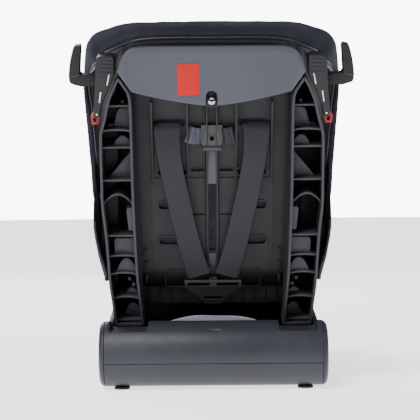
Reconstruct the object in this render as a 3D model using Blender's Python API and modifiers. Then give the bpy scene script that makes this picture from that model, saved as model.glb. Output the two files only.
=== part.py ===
"""Convertible car seat: a padded bucket shell that rocks back on the runners of its own base.

The seat faces -Y and X is its plane of symmetry. The back of the shell is a flat leaning panel, and
the ribbed columns, the crossbar and the harness behind it are placed in that panel's own frame,
where x runs across, y runs out of the back and z runs up the panel. All lengths are in metres.
"""
import math

import bmesh
import bpy
from mathutils import Matrix, Vector

GAP = 0.0003                      # air left between neighbouring pieces
SHELL_THICKNESS = 0.0035
WEBBING_WIDTH = 0.038
WEBBING_THICKNESS = 0.0018

# The leaning back panel.
BACK_SLOPE = 0.25                 # run per rise of the panel
LEAN_ANGLE = math.atan(BACK_SLOPE)
PANEL_FOOT = Vector((0.0, 0.097, 0.150))
LEAN = Matrix.Translation(PANEL_FOOT) @ Matrix.Rotation(-LEAN_ANGLE, 4, "X")
COLUMN_DEPTH = 0.055
COLUMN_WEB = 0.0030               # the column's cells are pockets, closed in front by this web
COLUMN_SHELVES = (0.106, 0.142, 0.183, 0.214, 0.249, 0.317, 0.341, 0.395, 0.421, 0.462, 0.487)
SMALLEST_CELL = 0.0245            # shelves closer than this have solid plastic between them

# The recline: the shell turns about an axis well above the seat.
RECLINE_Y = -0.010
RECLINE_Z = 0.560
ROCKER_RADIUS = 0.440
RAIL_RADIUS = 0.4408
RECLINE_PIVOT = Matrix.Translation((0.0, RECLINE_Y, RECLINE_Z))

# The base.
BASE_HALF_WIDTH = 0.177
BASE_WALL = 0.007
BASE_SPLIT_Z = 0.045
BASE_FLOOR_Z = 0.010
BASE_FRONT_Y = -0.250
ROLL_TOP_Z = 0.109
NOTCH_X = 0.138                   # the columns' feet dip into two notches in the roll's top
NOTCH_FLOOR_Z = 0.0955
ROLL_FRONT_Y = 0.150
ROLL_REAR_Y = 0.262
FOOT_HEIGHT = 0.004
HANDLE_Y = -0.218
HANDLE_Z = 0.158
LATCH_Y = -0.1669                 # the latch bar waits at the mouth of the rockers' first notch
LATCH_Z = 0.1439

# The buckle, which stands over the seat and leans back.
BUCKLE_LEAN = math.radians(30.0)
BUCKLE = Matrix.Translation((0.0, -0.045, 0.266)) @ Matrix.Rotation(-BUCKLE_LEAN, 4, "X")

# The harness.
STRAP_X = 0.0665
SLOT_HEIGHTS = (0.240, 0.300, 0.356, 0.437)

# Directions for flat outlines: drawn in x and z and seen from behind, or in y and z from the side.
REAR_VIEW = Matrix.Rotation(math.radians(90.0), 4, "X")
SIDE_VIEW = Matrix(((0, 0, 1, 0), (1, 0, 0, 0), (0, 1, 0, 0), (0, 0, 0, 1)))

# Stations of the bucket from the front edge of the seat to the top of the back: the floor point
# (y, z), the rim point (y, z), the half width of the floor and the half width of the rim.
STATIONS = (
    ((-0.245, 0.203), (-0.252, 0.268), 0.150, 0.183),
    ((-0.200, 0.205), (-0.195, 0.285), 0.150, 0.190),
    ((-0.110, 0.188), (-0.110, 0.303), 0.150, 0.195),
    ((-0.020, 0.168), (-0.030, 0.318), 0.150, 0.196),
    ((0.050, 0.157), (0.000, 0.340), 0.150, 0.196),
    ((0.092, 0.168), (0.018, 0.362), 0.150, 0.196),
    ((0.1076, 0.192), (0.028, 0.385), 0.152, 0.197),
    ((0.1296, 0.280), (0.035, 0.425), 0.156, 0.200),
    ((0.1546, 0.380), (0.045, 0.475), 0.160, 0.204),
    ((0.1746, 0.460), (0.065, 0.520), 0.162, 0.206),
    ((0.1896, 0.520), (0.105, 0.556), 0.160, 0.197),
    ((0.1996, 0.560), (0.150, 0.574), 0.150, 0.181),
    ((0.2053, 0.583), (0.190, 0.583), 0.125, 0.148),
)
BACK_START = 6                    # the station where the floor becomes the flat panel
SEAT_STEPS = 2                    # sections between two stations
LAST_STATION = len(STATIONS) - 1
FLANGE_WIDTH = 0.006


def clear_scene():
    for obj in list(bpy.data.objects):
        bpy.data.objects.remove(obj, do_unlink=True)


def new_collection(name):
    collection = bpy.data.collections.new(name)
    bpy.context.scene.collection.children.link(collection)
    return collection


clear_scene()
PARTS = new_collection("convertible_car_seat")
CUTTERS = new_collection("cutters")


def new_material(name, colour, roughness, metallic=0.0):
    material = bpy.data.materials.new(name)
    material.use_nodes = True
    shader = material.node_tree.nodes["Principled BSDF"]
    shader.inputs["Base Color"].default_value = (*colour, 1.0)
    shader.inputs["Roughness"].default_value = roughness
    shader.inputs["Metallic"].default_value = metallic
    return material


MATERIALS = {
    "black_plastic": new_material("black_plastic", (0.018, 0.018, 0.022), 0.45),
    "slate_plastic": new_material("slate_plastic", (0.085, 0.092, 0.115), 0.38),
    "grey_plastic": new_material("grey_plastic", (0.10, 0.105, 0.13), 0.36),
    "red_plastic": new_material("red_plastic", (0.55, 0.02, 0.02), 0.35),
    "red_label": new_material("red_label", (0.72, 0.045, 0.035), 0.5),
    "cover_fabric": new_material("cover_fabric", (0.035, 0.037, 0.055), 0.95),
    "pad_fabric": new_material("pad_fabric", (0.06, 0.062, 0.075), 0.95),
    "webbing": new_material("webbing", (0.03, 0.031, 0.04), 0.75),
    "steel": new_material("steel", (0.55, 0.55, 0.57), 0.32, 1.0),
    "rubber": new_material("rubber", (0.02, 0.02, 0.02), 0.9),
    "paper": new_material("paper", (0.85, 0.86, 0.88), 0.8),
}


def new_empty(name, pivot):
    empty = bpy.data.objects.new(name, None)
    PARTS.objects.link(empty)
    empty.matrix_basis = pivot
    return empty, pivot


SHELL_AXIS = new_empty("recline_axis", RECLINE_PIVOT)


def place(obj, frame, axis=None):
    """Put an object at frame, under the empty on its joint's axis if it moves."""
    if axis is not None:
        obj.parent = axis[0]
        obj.matrix_parent_inverse = axis[1].inverted()
    obj.matrix_basis = frame
    return obj


def new_part(name, mesh, material, frame=Matrix.Identity(4), axis=SHELL_AXIS):
    mesh.materials.clear()
    mesh.materials.append(MATERIALS[material])
    obj = bpy.data.objects.new(name, mesh)
    PARTS.objects.link(obj)
    return place(obj, frame, axis)


def new_cutter(name, mesh, frame=Matrix.Identity(4)):
    obj = bpy.data.objects.new(name, mesh)
    CUTTERS.objects.link(obj)
    obj.hide_render = True
    obj.display_type = "WIRE"
    obj.matrix_basis = frame
    return obj


def add_boolean(obj, other, operation):
    modifier = obj.modifiers.new(operation.lower(), "BOOLEAN")
    modifier.operation = operation
    modifier.solver = "EXACT"
    modifier.object = other


def add_bevel(obj, width, segments=2):
    modifier = obj.modifiers.new("rounded_edges", "BEVEL")
    modifier.width = width
    modifier.segments = segments
    modifier.limit_method = "ANGLE"


def finish_bmesh(name, bm):
    bmesh.ops.recalc_face_normals(bm, faces=bm.faces)
    mesh = bpy.data.meshes.new(name)
    bm.to_mesh(mesh)
    bm.free()
    return mesh


def box_mesh(name, low, high):
    bm = bmesh.new()
    add_box(bm, low, high)
    return finish_bmesh(name, bm)


def add_box(bm, low, high):
    low = Vector(low)
    high = Vector(high)
    matrix = Matrix.Translation((low + high) / 2) @ Matrix.Diagonal((*(high - low), 1.0))
    bmesh.ops.create_cube(bm, size=1.0, matrix=matrix)


def add_cylinder(bm, centre, radius, length, along, segments=20):
    turn = {"X": Matrix.Rotation(math.pi / 2, 4, "Y"), "Y": Matrix.Rotation(math.pi / 2, 4, "X")}
    matrix = Matrix.Translation(centre) @ turn.get(along, Matrix.Identity(4))
    bmesh.ops.create_cone(bm, cap_ends=True, segments=segments, radius1=radius, radius2=radius,
                          depth=length, matrix=matrix)


def cylinder_mesh(name, centre, radius, length, along, segments=20):
    bm = bmesh.new()
    add_cylinder(bm, centre, radius, length, along, segments)
    return finish_bmesh(name, bm)


def outline_mesh(name, loops, thickness):
    """A flat outline with its holes as further loops, thickness / 2 to each side of its plane."""
    curve = bpy.data.curves.new(name, "CURVE")
    curve.dimensions = "2D"
    curve.fill_mode = "BOTH"
    curve.extrude = thickness / 2
    for loop in loops:
        spline = curve.splines.new("POLY")
        spline.points.add(len(loop) - 1)
        for point, (across, up) in zip(spline.points, loop):
            point.co = (across, up, 0.0, 1.0)
        spline.use_cyclic_u = True
    holder = new_cutter(name + "_outline", curve)
    graph = bpy.context.evaluated_depsgraph_get()
    graph.update()
    mesh = bpy.data.meshes.new_from_object(holder.evaluated_get(graph))
    bpy.data.objects.remove(holder)
    bm = bmesh.new()
    bm.from_mesh(mesh)
    bmesh.ops.remove_doubles(bm, verts=bm.verts, dist=0.00002)
    bmesh.ops.recalc_face_normals(bm, faces=bm.faces)
    bm.to_mesh(mesh)
    bm.free()
    return mesh


def rear_outline(name, loops, depth_from, depth_to, material, frame=LEAN, axis=SHELL_AXIS):
    """A plate drawn in x and z, from one depth to another along the frame's y."""
    mesh = outline_mesh(name, loops, depth_to - depth_from)
    middle = Matrix.Translation((0.0, (depth_from + depth_to) / 2, 0.0))
    return new_part(name, mesh, material, frame @ middle @ REAR_VIEW, axis)


def side_outline(name, loops, x_from, x_to, material, axis=SHELL_AXIS):
    """A plate drawn in y and z, from one x to another."""
    mesh = outline_mesh(name, loops, abs(x_to - x_from))
    middle = Matrix.Translation(((x_from + x_to) / 2, 0.0, 0.0))
    return new_part(name, mesh, material, middle @ SIDE_VIEW, axis)


def mirrored(loop, side):
    return [(side * across, up) for across, up in loop]


def circle(centre, radius, step=36):
    angles = [math.radians(angle) for angle in range(0, 360, step)]
    return [(centre[0] + radius * math.cos(angle), centre[1] + radius * math.sin(angle)) for angle in angles]


def lean_z(height, depth):
    """The panel coordinate z of a point at a world height and a depth behind the panel."""
    return (height - PANEL_FOOT.z + depth * math.sin(LEAN_ANGLE)) / math.cos(LEAN_ANGLE)


def smooth_path(points, steps):
    """Points on a smooth curve through the given ones."""
    points = [Vector(point) for point in points]
    path = []
    for index in range(len(points) - 1):
        before = points[max(index - 1, 0)]
        start, end = points[index], points[index + 1]
        after = points[min(index + 2, len(points) - 1)]
        for step in range(steps):
            path.append(hermite(start, end, (end - before) / 2, (after - start) / 2, step / steps))
    path.append(points[-1])
    return path


def hermite(start, end, leave, arrive, t):
    a = 2 * t ** 3 - 3 * t ** 2 + 1
    b = t ** 3 - 2 * t ** 2 + t
    c = -2 * t ** 3 + 3 * t ** 2
    d = t ** 3 - t ** 2
    return start * a + leave * b + end * c + arrive * d


def band_mesh(name, path, width, facing, from_height, to_height):
    """A flat band along a path; facing is the side that it shows, and heights are measured there."""
    bm = bmesh.new()
    rings = []
    for index, point in enumerate(path):
        ahead = path[min(index + 1, len(path) - 1)] - path[max(index - 1, 0)]
        across = ahead.cross(facing).normalized() * (width / 2)
        normal = across.cross(ahead).normalized()
        if normal.dot(facing) < 0:
            normal = -normal
        corners = (point - across + normal * from_height, point + across + normal * from_height,
                   point + across + normal * to_height, point - across + normal * to_height)
        rings.append([bm.verts.new(corner) for corner in corners])
    for ring, following in zip(rings, rings[1:]):
        for corner in range(4):
            nearby = (corner + 1) % 4
            bm.faces.new((ring[corner], ring[nearby], following[nearby], following[corner]))
    bm.faces.new(rings[0])
    bm.faces.new(rings[-1])
    return finish_bmesh(name, bm)


def strap(name, points, facing, width=WEBBING_WIDTH, frame=Matrix.Identity(4), axis=SHELL_AXIS):
    path = smooth_path(points, 3)
    half = WEBBING_THICKNESS / 2
    mesh = band_mesh(name, path, width, Vector(facing), -half, half)
    return new_part(name, mesh, "webbing", frame, axis)


# ---------------------------------------------------------------- the bucket's surface

def station_value(position, pick):
    """A value between stations, smooth all along, and straight along the flat of the back."""
    index = min(int(position), LAST_STATION - 1)
    values = [pick(station) for station in STATIONS]
    start, end = values[index], values[index + 1]
    before = values[max(index - 1, 0)]
    after = values[min(index + 2, LAST_STATION)]
    leave, arrive = (end - before) / 2, (after - start) / 2
    if index == BACK_START:
        leave = end - start
    if index == BACK_START - 1:
        arrive = (after - end) * 0.3
    return hermite(start, end, leave, arrive, position - index)


def floor_point(position):
    return station_value(position, lambda station: Vector((0.0, *station[0])))


def rim_point(position):
    return station_value(position, lambda station: Vector((0.0, *station[1])))


def floor_half_width(position):
    return station_value(position, lambda station: station[2])


def rim_half_width(position):
    return station_value(position, lambda station: station[3])


# Along half a section, a place is 0 on the middle line, 1 where the corner starts, 2 where it
# ends, 3 at the rim and 4 at the edge of the flange.
HALF_PLACES = (0.0, 0.5, 1.0, 1.33, 1.67, 2.0, 2.35, 2.7, 3.0, 4.0)
FULL_PLACES = [-place_on for place_on in reversed(HALF_PLACES[1:])] + list(HALF_PLACES)


def bucket_point(position, place_on):
    """A point on the bucket's outer surface."""
    side = -1.0 if place_on < 0 else 1.0
    where = abs(place_on)
    floor, rim = floor_point(position), rim_point(position)
    height = (rim - floor).length
    rise = (rim - floor) / height
    corner = min(0.040, 0.45 * height)
    half_floor, half_rim = floor_half_width(position), rim_half_width(position)
    if where <= 1.0:
        across, up = (half_floor - corner) * where, 0.0
    elif where <= 2.0:
        turn = (where - 1.0) * math.pi / 2
        across = half_floor - corner + corner * math.sin(turn)
        up = corner * (1 - math.cos(turn))
    elif where <= 3.0:
        t = where - 2.0
        bend = Vector((half_floor + 0.004, (corner + height) / 2))
        wing = (Vector((half_floor, corner)) * (1 - t) ** 2 + bend * 2 * t * (1 - t)
                + Vector((half_rim, height)) * t ** 2)
        across, up = wing
    else:
        across, up = half_rim + FLANGE_WIDTH * (where - 3.0), height
    return floor + rise * up + Vector((side * across, 0.0, 0.0))


def inward(position, place_on):
    """The bucket's normal, towards the child."""
    step = 0.02
    low, high = max(position - step, 0.0), min(position + step, LAST_STATION)
    along = bucket_point(high, place_on) - bucket_point(low, place_on)
    near, far = max(place_on - step, -3.0), min(place_on + step, 3.0)
    across = bucket_point(position, far) - bucket_point(position, near)
    return across.cross(along).normalized()


def sections(first, last):
    count = round((last - first) * SEAT_STEPS)
    return [first + (last - first) * index / count for index in range(count + 1)]


def surface_grid(bm, positions, places, offset):
    return [[bm.verts.new(bucket_point(position, spot) + inward(position, spot) * offset)
             for spot in places] for position in positions]


def add_quads(bm, grid):
    for row, following in zip(grid, grid[1:]):
        for index in range(len(row) - 1):
            bm.faces.new((row[index], row[index + 1], following[index + 1], following[index]))


def patch_mesh(name, positions, places, near, far):
    """A closed pad that lies on the bucket's inner side, between two heights above its surface."""
    bm = bmesh.new()
    lower = surface_grid(bm, positions, places, near)
    upper = surface_grid(bm, positions, places, far)
    add_quads(bm, lower)
    add_quads(bm, upper)
    edges = ([row[0] for row in lower], [row[0] for row in upper]), \
            ([row[-1] for row in lower], [row[-1] for row in upper]), \
            (lower[0], upper[0]), (lower[-1], upper[-1])
    for below, above in edges:
        for index in range(len(below) - 1):
            bm.faces.new((below[index], below[index + 1], above[index + 1], above[index]))
    return finish_bmesh(name, bm)


# ---------------------------------------------------------------- the shell and its frame

def slot_boxes(bm, depth_from, depth_to, heights):
    """Harness slots through the panel, drawn in its frame."""
    for height in heights:
        up = lean_z(height, 0.0)
        for side in (-1, 1):
            low = (side * STRAP_X - 0.024, depth_from, up - 0.006)
            high = (side * STRAP_X + 0.024, depth_to, up + 0.006)
            add_box(bm, low, high)


def wedge(bm, x, half_thickness, top, foot, depth_top, depth_foot):
    """A thin rib standing on the panel, deeper at its top than at its foot."""
    sunk = -0.0015
    corners = ((sunk, foot), (depth_foot, foot), (depth_top, top), (sunk, top))
    rings = []
    for across in (x - half_thickness, x + half_thickness):
        rings.append([bm.verts.new((across, depth, up)) for depth, up in corners])
    bm.faces.new(rings[0])
    bm.faces.new(reversed(rings[1]))
    for index in range(4):
        nearby = (index + 1) % 4
        bm.faces.new((rings[0][index], rings[0][nearby], rings[1][nearby], rings[1][index]))


def build_shell():
    bm = bmesh.new()
    add_quads(bm, surface_grid(bm, sections(0.0, LAST_STATION), FULL_PLACES, 0.0))
    mesh = finish_bmesh("shell_bucket", bm)
    shell = new_part("shell_bucket", mesh, "black_plastic")
    wall = shell.modifiers.new("wall", "SOLIDIFY")
    wall.thickness = SHELL_THICKNESS
    upward = max(mesh.polygons, key=lambda face: -abs(face.center.x) - abs(face.center.y)).normal.z
    wall.offset = 1.0 if upward > 0 else -1.0

    ribs = bmesh.new()
    for side in (-1, 1):
        wedge(ribs, side * 0.0995, 0.0015, lean_z(0.452, 0.03), lean_z(0.330, 0.0), 0.034, 0.004)
        wedge(ribs, side * 0.036, 0.0012, lean_z(0.392, 0.008), lean_z(0.330, 0.0), 0.009, 0.004)
        wedge(ribs, side * 0.009, 0.0012, lean_z(0.385, 0.008), lean_z(0.205, 0.0), 0.008, 0.006)
    bmesh.ops.recalc_face_normals(ribs, faces=ribs.faces)
    add_boolean(shell, new_cutter("panel_ribs", finish_bmesh("panel_ribs", ribs), LEAN), "UNION")

    cross_rib = [(0.018, 0.128), (0.138, 0.128), (0.138, 0.1700), (0.125, 0.1618), (0.112, 0.1600),
                 (0.018, 0.1600)]
    mesh = outline_mesh("cross_ribs", [mirrored(cross_rib, side) for side in (-1, 1)], SHELL_THICKNESS)
    frame = Matrix.Translation((0.0, 0.0565, 0.0)) @ REAR_VIEW
    add_boolean(shell, new_cutter("cross_ribs", mesh, frame), "UNION")

    holes = bmesh.new()
    slot_boxes(holes, -0.010, 0.004, SLOT_HEIGHTS)
    add_boolean(shell, new_cutter("slot_cutter", finish_bmesh("slots", holes), LEAN), "DIFFERENCE")

    openings = bmesh.new()
    add_box(openings, (-0.024, -0.094, 0.150), (0.024, -0.078, 0.220))
    for side in (-1, 1):
        centre = Vector((side * 0.160, 0.052, 0.232))
        low = centre - Vector((0.030, 0.038, 0.018))
        add_box(openings, low, centre + Vector((0.030, 0.030, 0.018)))
    cutter = new_cutter("opening_cutter", finish_bmesh("openings", openings))
    add_boolean(shell, cutter, "DIFFERENCE")


def column_outline():
    """The outer edge up one side and the inner edge down the other, as (x, height) at the back."""
    outer = ((0.1645, 0.0960), (0.1670, 0.1125), (0.1690, 0.1320), (0.1740, 0.1720), (0.1785, 0.2476),
             (0.1834, 0.2970), (0.1840, 0.3380), (0.1840, 0.4035), (0.1825, 0.4200), (0.1765, 0.4400),
             (0.1700, 0.4680), (0.1600, 0.4920), (0.1510, 0.5080))
    inner = ((0.1355, 0.4855), (0.1310, 0.4660), (0.1300, 0.4000), (0.1290, 0.3050), (0.1250, 0.1930),
             (0.1220, 0.1550), (0.1170, 0.1040), (0.1160, 0.0960))
    return outer, inner


def edge_at(edge, height):
    """The x of a column's edge at a height."""
    ordered = sorted(edge, key=lambda point: point[1])
    for (x0, z0), (x1, z1) in zip(ordered, ordered[1:]):
        if z0 <= height <= z1:
            return x0 + (x1 - x0) * (height - z0) / (z1 - z0)
    return ordered[-1][0] if height > ordered[-1][1] else ordered[0][0]


def build_column(side, name):
    outer, inner = column_outline()
    wall, shelf = 0.0036, 0.0030
    outline = [(x, lean_z(z, COLUMN_DEPTH)) for x, z in outer + inner]
    column = rear_outline(name, [mirrored(outline, side)], 0.0006, COLUMN_DEPTH, "black_plastic")
    cells = []
    for low, high in zip(COLUMN_SHELVES, COLUMN_SHELVES[1:]):
        if high - low < SMALLEST_CELL:
            continue
        z0, z1 = low + shelf / 2, high - shelf / 2
        cell = ((edge_at(inner, z0) + wall, z0), (edge_at(outer, z0) - wall, z0),
                (edge_at(outer, z1) - wall, z1), (edge_at(inner, z1) + wall, z1))
        cells.append(mirrored([(x, lean_z(z, COLUMN_DEPTH)) for x, z in cell], side))
    mesh = outline_mesh(name + "_cells", cells, COLUMN_DEPTH)
    frame = LEAN @ Matrix.Translation((0.0, COLUMN_DEPTH / 2 + COLUMN_WEB, 0.0)) @ REAR_VIEW
    add_boolean(column, new_cutter(name + "_cells", mesh, frame), "DIFFERENCE")


def crossbar_edge(start, end, sag, count):
    """Points from start to end along a shallow arc."""
    points = []
    for index in range(count + 1):
        t = index / count
        x = start[0] + (end[0] - start[0]) * t
        z = start[1] + (end[1] - start[1]) * t + sag * 4 * t * (1 - t)
        points.append((x, z))
    return points


def build_crossbar():
    near, far = 0.040, 0.060
    notch = [(0.0096 * math.cos(math.radians(angle)), 0.4755 + 0.0096 * math.sin(math.radians(angle)))
             for angle in range(0, 181, 30)]
    lower_right = crossbar_edge((0.0096, 0.4585), (0.130, 0.483), -0.003, 5)
    spots = (1.0, 0.985, 0.95, 0.90, 0.82, 0.70, 0.45, 0.0)
    half_top = [(0.1505 * spot, 0.5095 + 0.0365 * (1 - spot ** 7)) for spot in spots]
    top = half_top + [(-x, z) for x, z in reversed(half_top[:-1])]
    lower_left = [(-x, z) for x, z in reversed(lower_right)]
    outline = lower_right + top + lower_left + [(-x, z) for x, z in notch]
    loop = [(x, lean_z(z, far)) for x, z in outline]
    bar = rear_outline("rear_crossbar", [loop], near, far, "grey_plastic")
    hollow_top = crossbar_edge((0.112, 0.512), (-0.112, 0.512), 0.026, 8)
    hollow = [(0.105, 0.491), *hollow_top, (-0.105, 0.491), (-0.017, 0.481), (-0.014, 0.495),
              (0.014, 0.495), (0.017, 0.481)]
    mesh = outline_mesh("crossbar_hollow", [[(x, lean_z(z, far)) for x, z in hollow]], 0.030)
    frame = LEAN @ Matrix.Translation((0.0, far - 0.004 - 0.015, 0.0)) @ REAR_VIEW
    add_boolean(bar, new_cutter("crossbar_hollow", mesh, frame), "DIFFERENCE")

    label = [(0.0190, 0.4790), (0.0545, 0.4770), (0.0558, 0.5270), (0.0205, 0.5290)]
    rear_outline("warning_label_blank", [[(x, lean_z(z, far)) for x, z in label]], far + GAP,
                 far + GAP + 0.0006, "red_label")
    screw = bmesh.new()
    up = lean_z(0.4700, 0.04)
    add_cylinder(screw, (0.0, 0.0215, up), 0.0022, 0.041, "Y", 12)
    shank = new_part("frame_screw", finish_bmesh("frame_screw", screw), "steel", LEAN)
    head = cylinder_mesh("screw_head", (0.0, 0.0435, up), 0.0052, 0.005, "Y", 20)
    add_boolean(shank, new_cutter("screw_head", head, LEAN), "UNION")


def rocker_arc(radius, y_from, y_to, count):
    """Points on an arc about the recline axis."""
    points = []
    for index in range(count + 1):
        y = y_from + (y_to - y_from) * index / count
        points.append((y, RECLINE_Z - math.sqrt(radius ** 2 - (y - RECLINE_Y) ** 2)))
    return points


def floor_height(y):
    """The height of the bucket's underside over a place along the seat."""
    position = 0.0
    while floor_point(position).y < y:
        position += 0.02
    return floor_point(position).z


def build_rocker(side, name):
    x_inner, x_outer = 0.140, 0.149
    lift = 0.0125
    arc = rocker_arc(ROCKER_RADIUS, -0.196, 0.070, 14)
    along = (0.070, 0.050, 0.020, -0.020, -0.065, -0.110, -0.155, -0.196)
    top = [(y, floor_height(y) + lift) for y in along]
    rocker = side_outline(name, [arc + top], side * x_inner, side * x_outer, "black_plastic")
    notches = bmesh.new()
    for step in range(4):
        turn = math.radians(4.0 * step)
        bar = Vector((0.0, LATCH_Y - RECLINE_Y, LATCH_Z - RECLINE_Z)).normalized() * (ROCKER_RADIUS - 0.001)
        centre = Matrix.Rotation(turn, 4, "X") @ bar + Vector((side * 0.1445, RECLINE_Y, RECLINE_Z))
        add_cylinder(notches, centre, 0.0056, 0.020, "X", 12)
    cutter = new_cutter(name + "_notches", finish_bmesh(name + "_notches", notches))
    add_boolean(rocker, cutter, "DIFFERENCE")


def build_belt_clamp(side, suffix):
    """The shoulder belt's guide hook, and the clamp beside it with its lever on a pin."""
    pin_x, pin_z = 0.1875, 0.4530
    body = [(0.1575, 0.5150), (0.1575, 0.5460), (0.1870, 0.5460), (0.1900, 0.4900), (0.1930, 0.4600),
            (0.1930, 0.4480), (0.1835, 0.4480), (0.1800, 0.4650), (0.1690, 0.4900)]
    loops = [body, circle((pin_x, pin_z), 0.0024)]
    loops = [mirrored([(x, lean_z(z, 0.027)) for x, z in loop], side) for loop in loops]
    clamp = rear_outline("belt_clamp_" + suffix, loops, 0.006, 0.046, "slate_plastic")
    cut = bmesh.new()
    middle = side * 0.1725
    add_box(cut, (middle - 0.0325, 0.022, lean_z(0.488, 0.027)),
            (middle + 0.0325, 0.030, lean_z(0.536, 0.027)))
    outer = side * 0.1925
    add_box(cut, (outer - 0.0120, 0.0172, lean_z(0.420, 0.027)),
            (outer + 0.0120, 0.0368, lean_z(0.4610, 0.027)))
    add_boolean(clamp, new_cutter("clamp_cut_" + suffix, finish_bmesh("clamp_cut", cut), LEAN), "DIFFERENCE")
    guide = [(0.1905, 0.5000), (0.2150, 0.4985), (0.2330, 0.5040), (0.2345, 0.5120), (0.2345, 0.5200),
             (0.2315, 0.5420), (0.2253, 0.5640), (0.2130, 0.5650), (0.2165, 0.5180), (0.1905, 0.5160)]
    loop = mirrored([(x, lean_z(z, 0.0)) for x, z in guide], side)
    rear_outline("belt_guide_" + suffix, [loop], -0.014, 0.014, "black_plastic")

    pivot = LEAN @ Matrix.Translation((side * pin_x, 0.027, lean_z(pin_z, 0.027)))
    axis = new_empty("lever_axis_" + suffix, pivot)
    lever = [(-0.0042, 0.0042), (0.0045, 0.0042), (0.0110, -0.0050), (0.0095, -0.0180),
             (-0.0010, -0.0180), (-0.0042, -0.0060)]
    window = [(0.0010, -0.0070), (0.0070, -0.0070), (0.0062, -0.0140), (0.0012, -0.0140)]
    loops = [mirrored(loop, side) for loop in (lever, window, circle((0.0, 0.0), 0.0024))]
    rear_outline("clamp_lever_" + suffix, loops, -0.009, 0.009, "red_plastic", pivot, axis)
    pin = cylinder_mesh("clamp_pin_" + suffix, (0.0, 0.0, 0.0), 0.0020, 0.036, "Y", 12)
    new_part("clamp_pin_" + suffix, pin, "steel", pivot)


# ---------------------------------------------------------------- the covers and pads

def trimmed(places, first, last):
    return [first] + [spot for spot in places if first + 0.08 < spot < last - 0.08] + [last]


def build_pads():
    steps = sections(0.0, LAST_STATION)
    across = trimmed(FULL_PLACES, -1.33, 1.33)
    seat = patch_mesh("seat_pad", trimmed(steps, 0.03, 5.0), across, 0.0045, 0.026)
    pad = new_part("seat_pad", seat, "pad_fabric")
    cut = box_mesh("crotch_cut", (-0.024, -0.094, 0.150), (0.024, -0.078, 0.260))
    add_boolean(pad, new_cutter("crotch_cut", cut), "DIFFERENCE")
    across = trimmed(FULL_PLACES, -0.99, 0.99)
    back = patch_mesh("back_pad", trimmed(steps, 6.1, 11.2), across, 0.0045, 0.030)
    pad = new_part("back_pad", back, "pad_fabric")
    cut = bmesh.new()
    slot_boxes(cut, -0.050, 0.004, SLOT_HEIGHTS[-1:])
    add_boolean(pad, new_cutter("back_pad_cut", finish_bmesh("back_pad_cut", cut), LEAN), "DIFFERENCE")
    pillow = patch_mesh("head_pillow", sections(9.3, 10.8), (-0.74, -0.5, 0.0, 0.5, 0.74), 0.0315, 0.052)
    new_part("head_pillow", pillow, "cover_fabric")
    for side, suffix in ((1, "left"), (-1, "right")):
        places = sorted(side * spot for spot in trimmed(HALF_PLACES, 1.67, 2.92))
        wing = patch_mesh("side_pad_" + suffix, trimmed(steps, 0.20, 10.6), places, 0.0056, 0.021)
        wing_pad = new_part("side_pad_" + suffix, wing, "cover_fabric")
        centre = Vector((side * 0.160, 0.052, 0.232))
        low = centre - Vector((0.060, 0.038, 0.018))
        high = centre + Vector((0.060, 0.030, 0.018))
        cutter = new_cutter("wing_cut_" + suffix, box_mesh("wing_cut", low, high))
        add_boolean(wing_pad, cutter, "DIFFERENCE")


def rim_path():
    """Round the flange's edge, up one side, over the top of the back and down the other side."""
    out, above = 0.0062, 0.0086
    half = []
    for position in sections(0.0, LAST_STATION):
        over = min(max(position - LAST_STATION + 1.5, 0.0) / 1.5, 1.0)
        half.append(bucket_point(position, 4.0) + Vector((out, 0.0, above * over)))
    for spot in (2.7, 2.0, 1.33, 0.5):
        beside = max(spot - 2.0, 0.0) / 2.0
        half.append(bucket_point(LAST_STATION, spot) + Vector((out * beside, -0.0015, above)))
    return half + [Vector((-point.x, point.y, point.z)) for point in reversed(half)]


def build_rim_cover():
    path = rim_path()
    curve = bpy.data.curves.new("rim_cover", "CURVE")
    curve.dimensions = "3D"
    curve.bevel_depth = 0.0045
    curve.bevel_resolution = 2
    curve.use_fill_caps = True
    spline = curve.splines.new("POLY")
    spline.points.add(len(path) - 1)
    for point, place_at in zip(spline.points, path):
        point.co = (*place_at, 1.0)
    curve.materials.append(MATERIALS["cover_fabric"])
    rim = bpy.data.objects.new("rim_cover", curve)
    PARTS.objects.link(rim)
    place(rim, Matrix.Identity(4), SHELL_AXIS)


# ---------------------------------------------------------------- the harness

def panel_point(x, depth, up):
    return LEAN @ Vector((x, depth, up))


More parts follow.
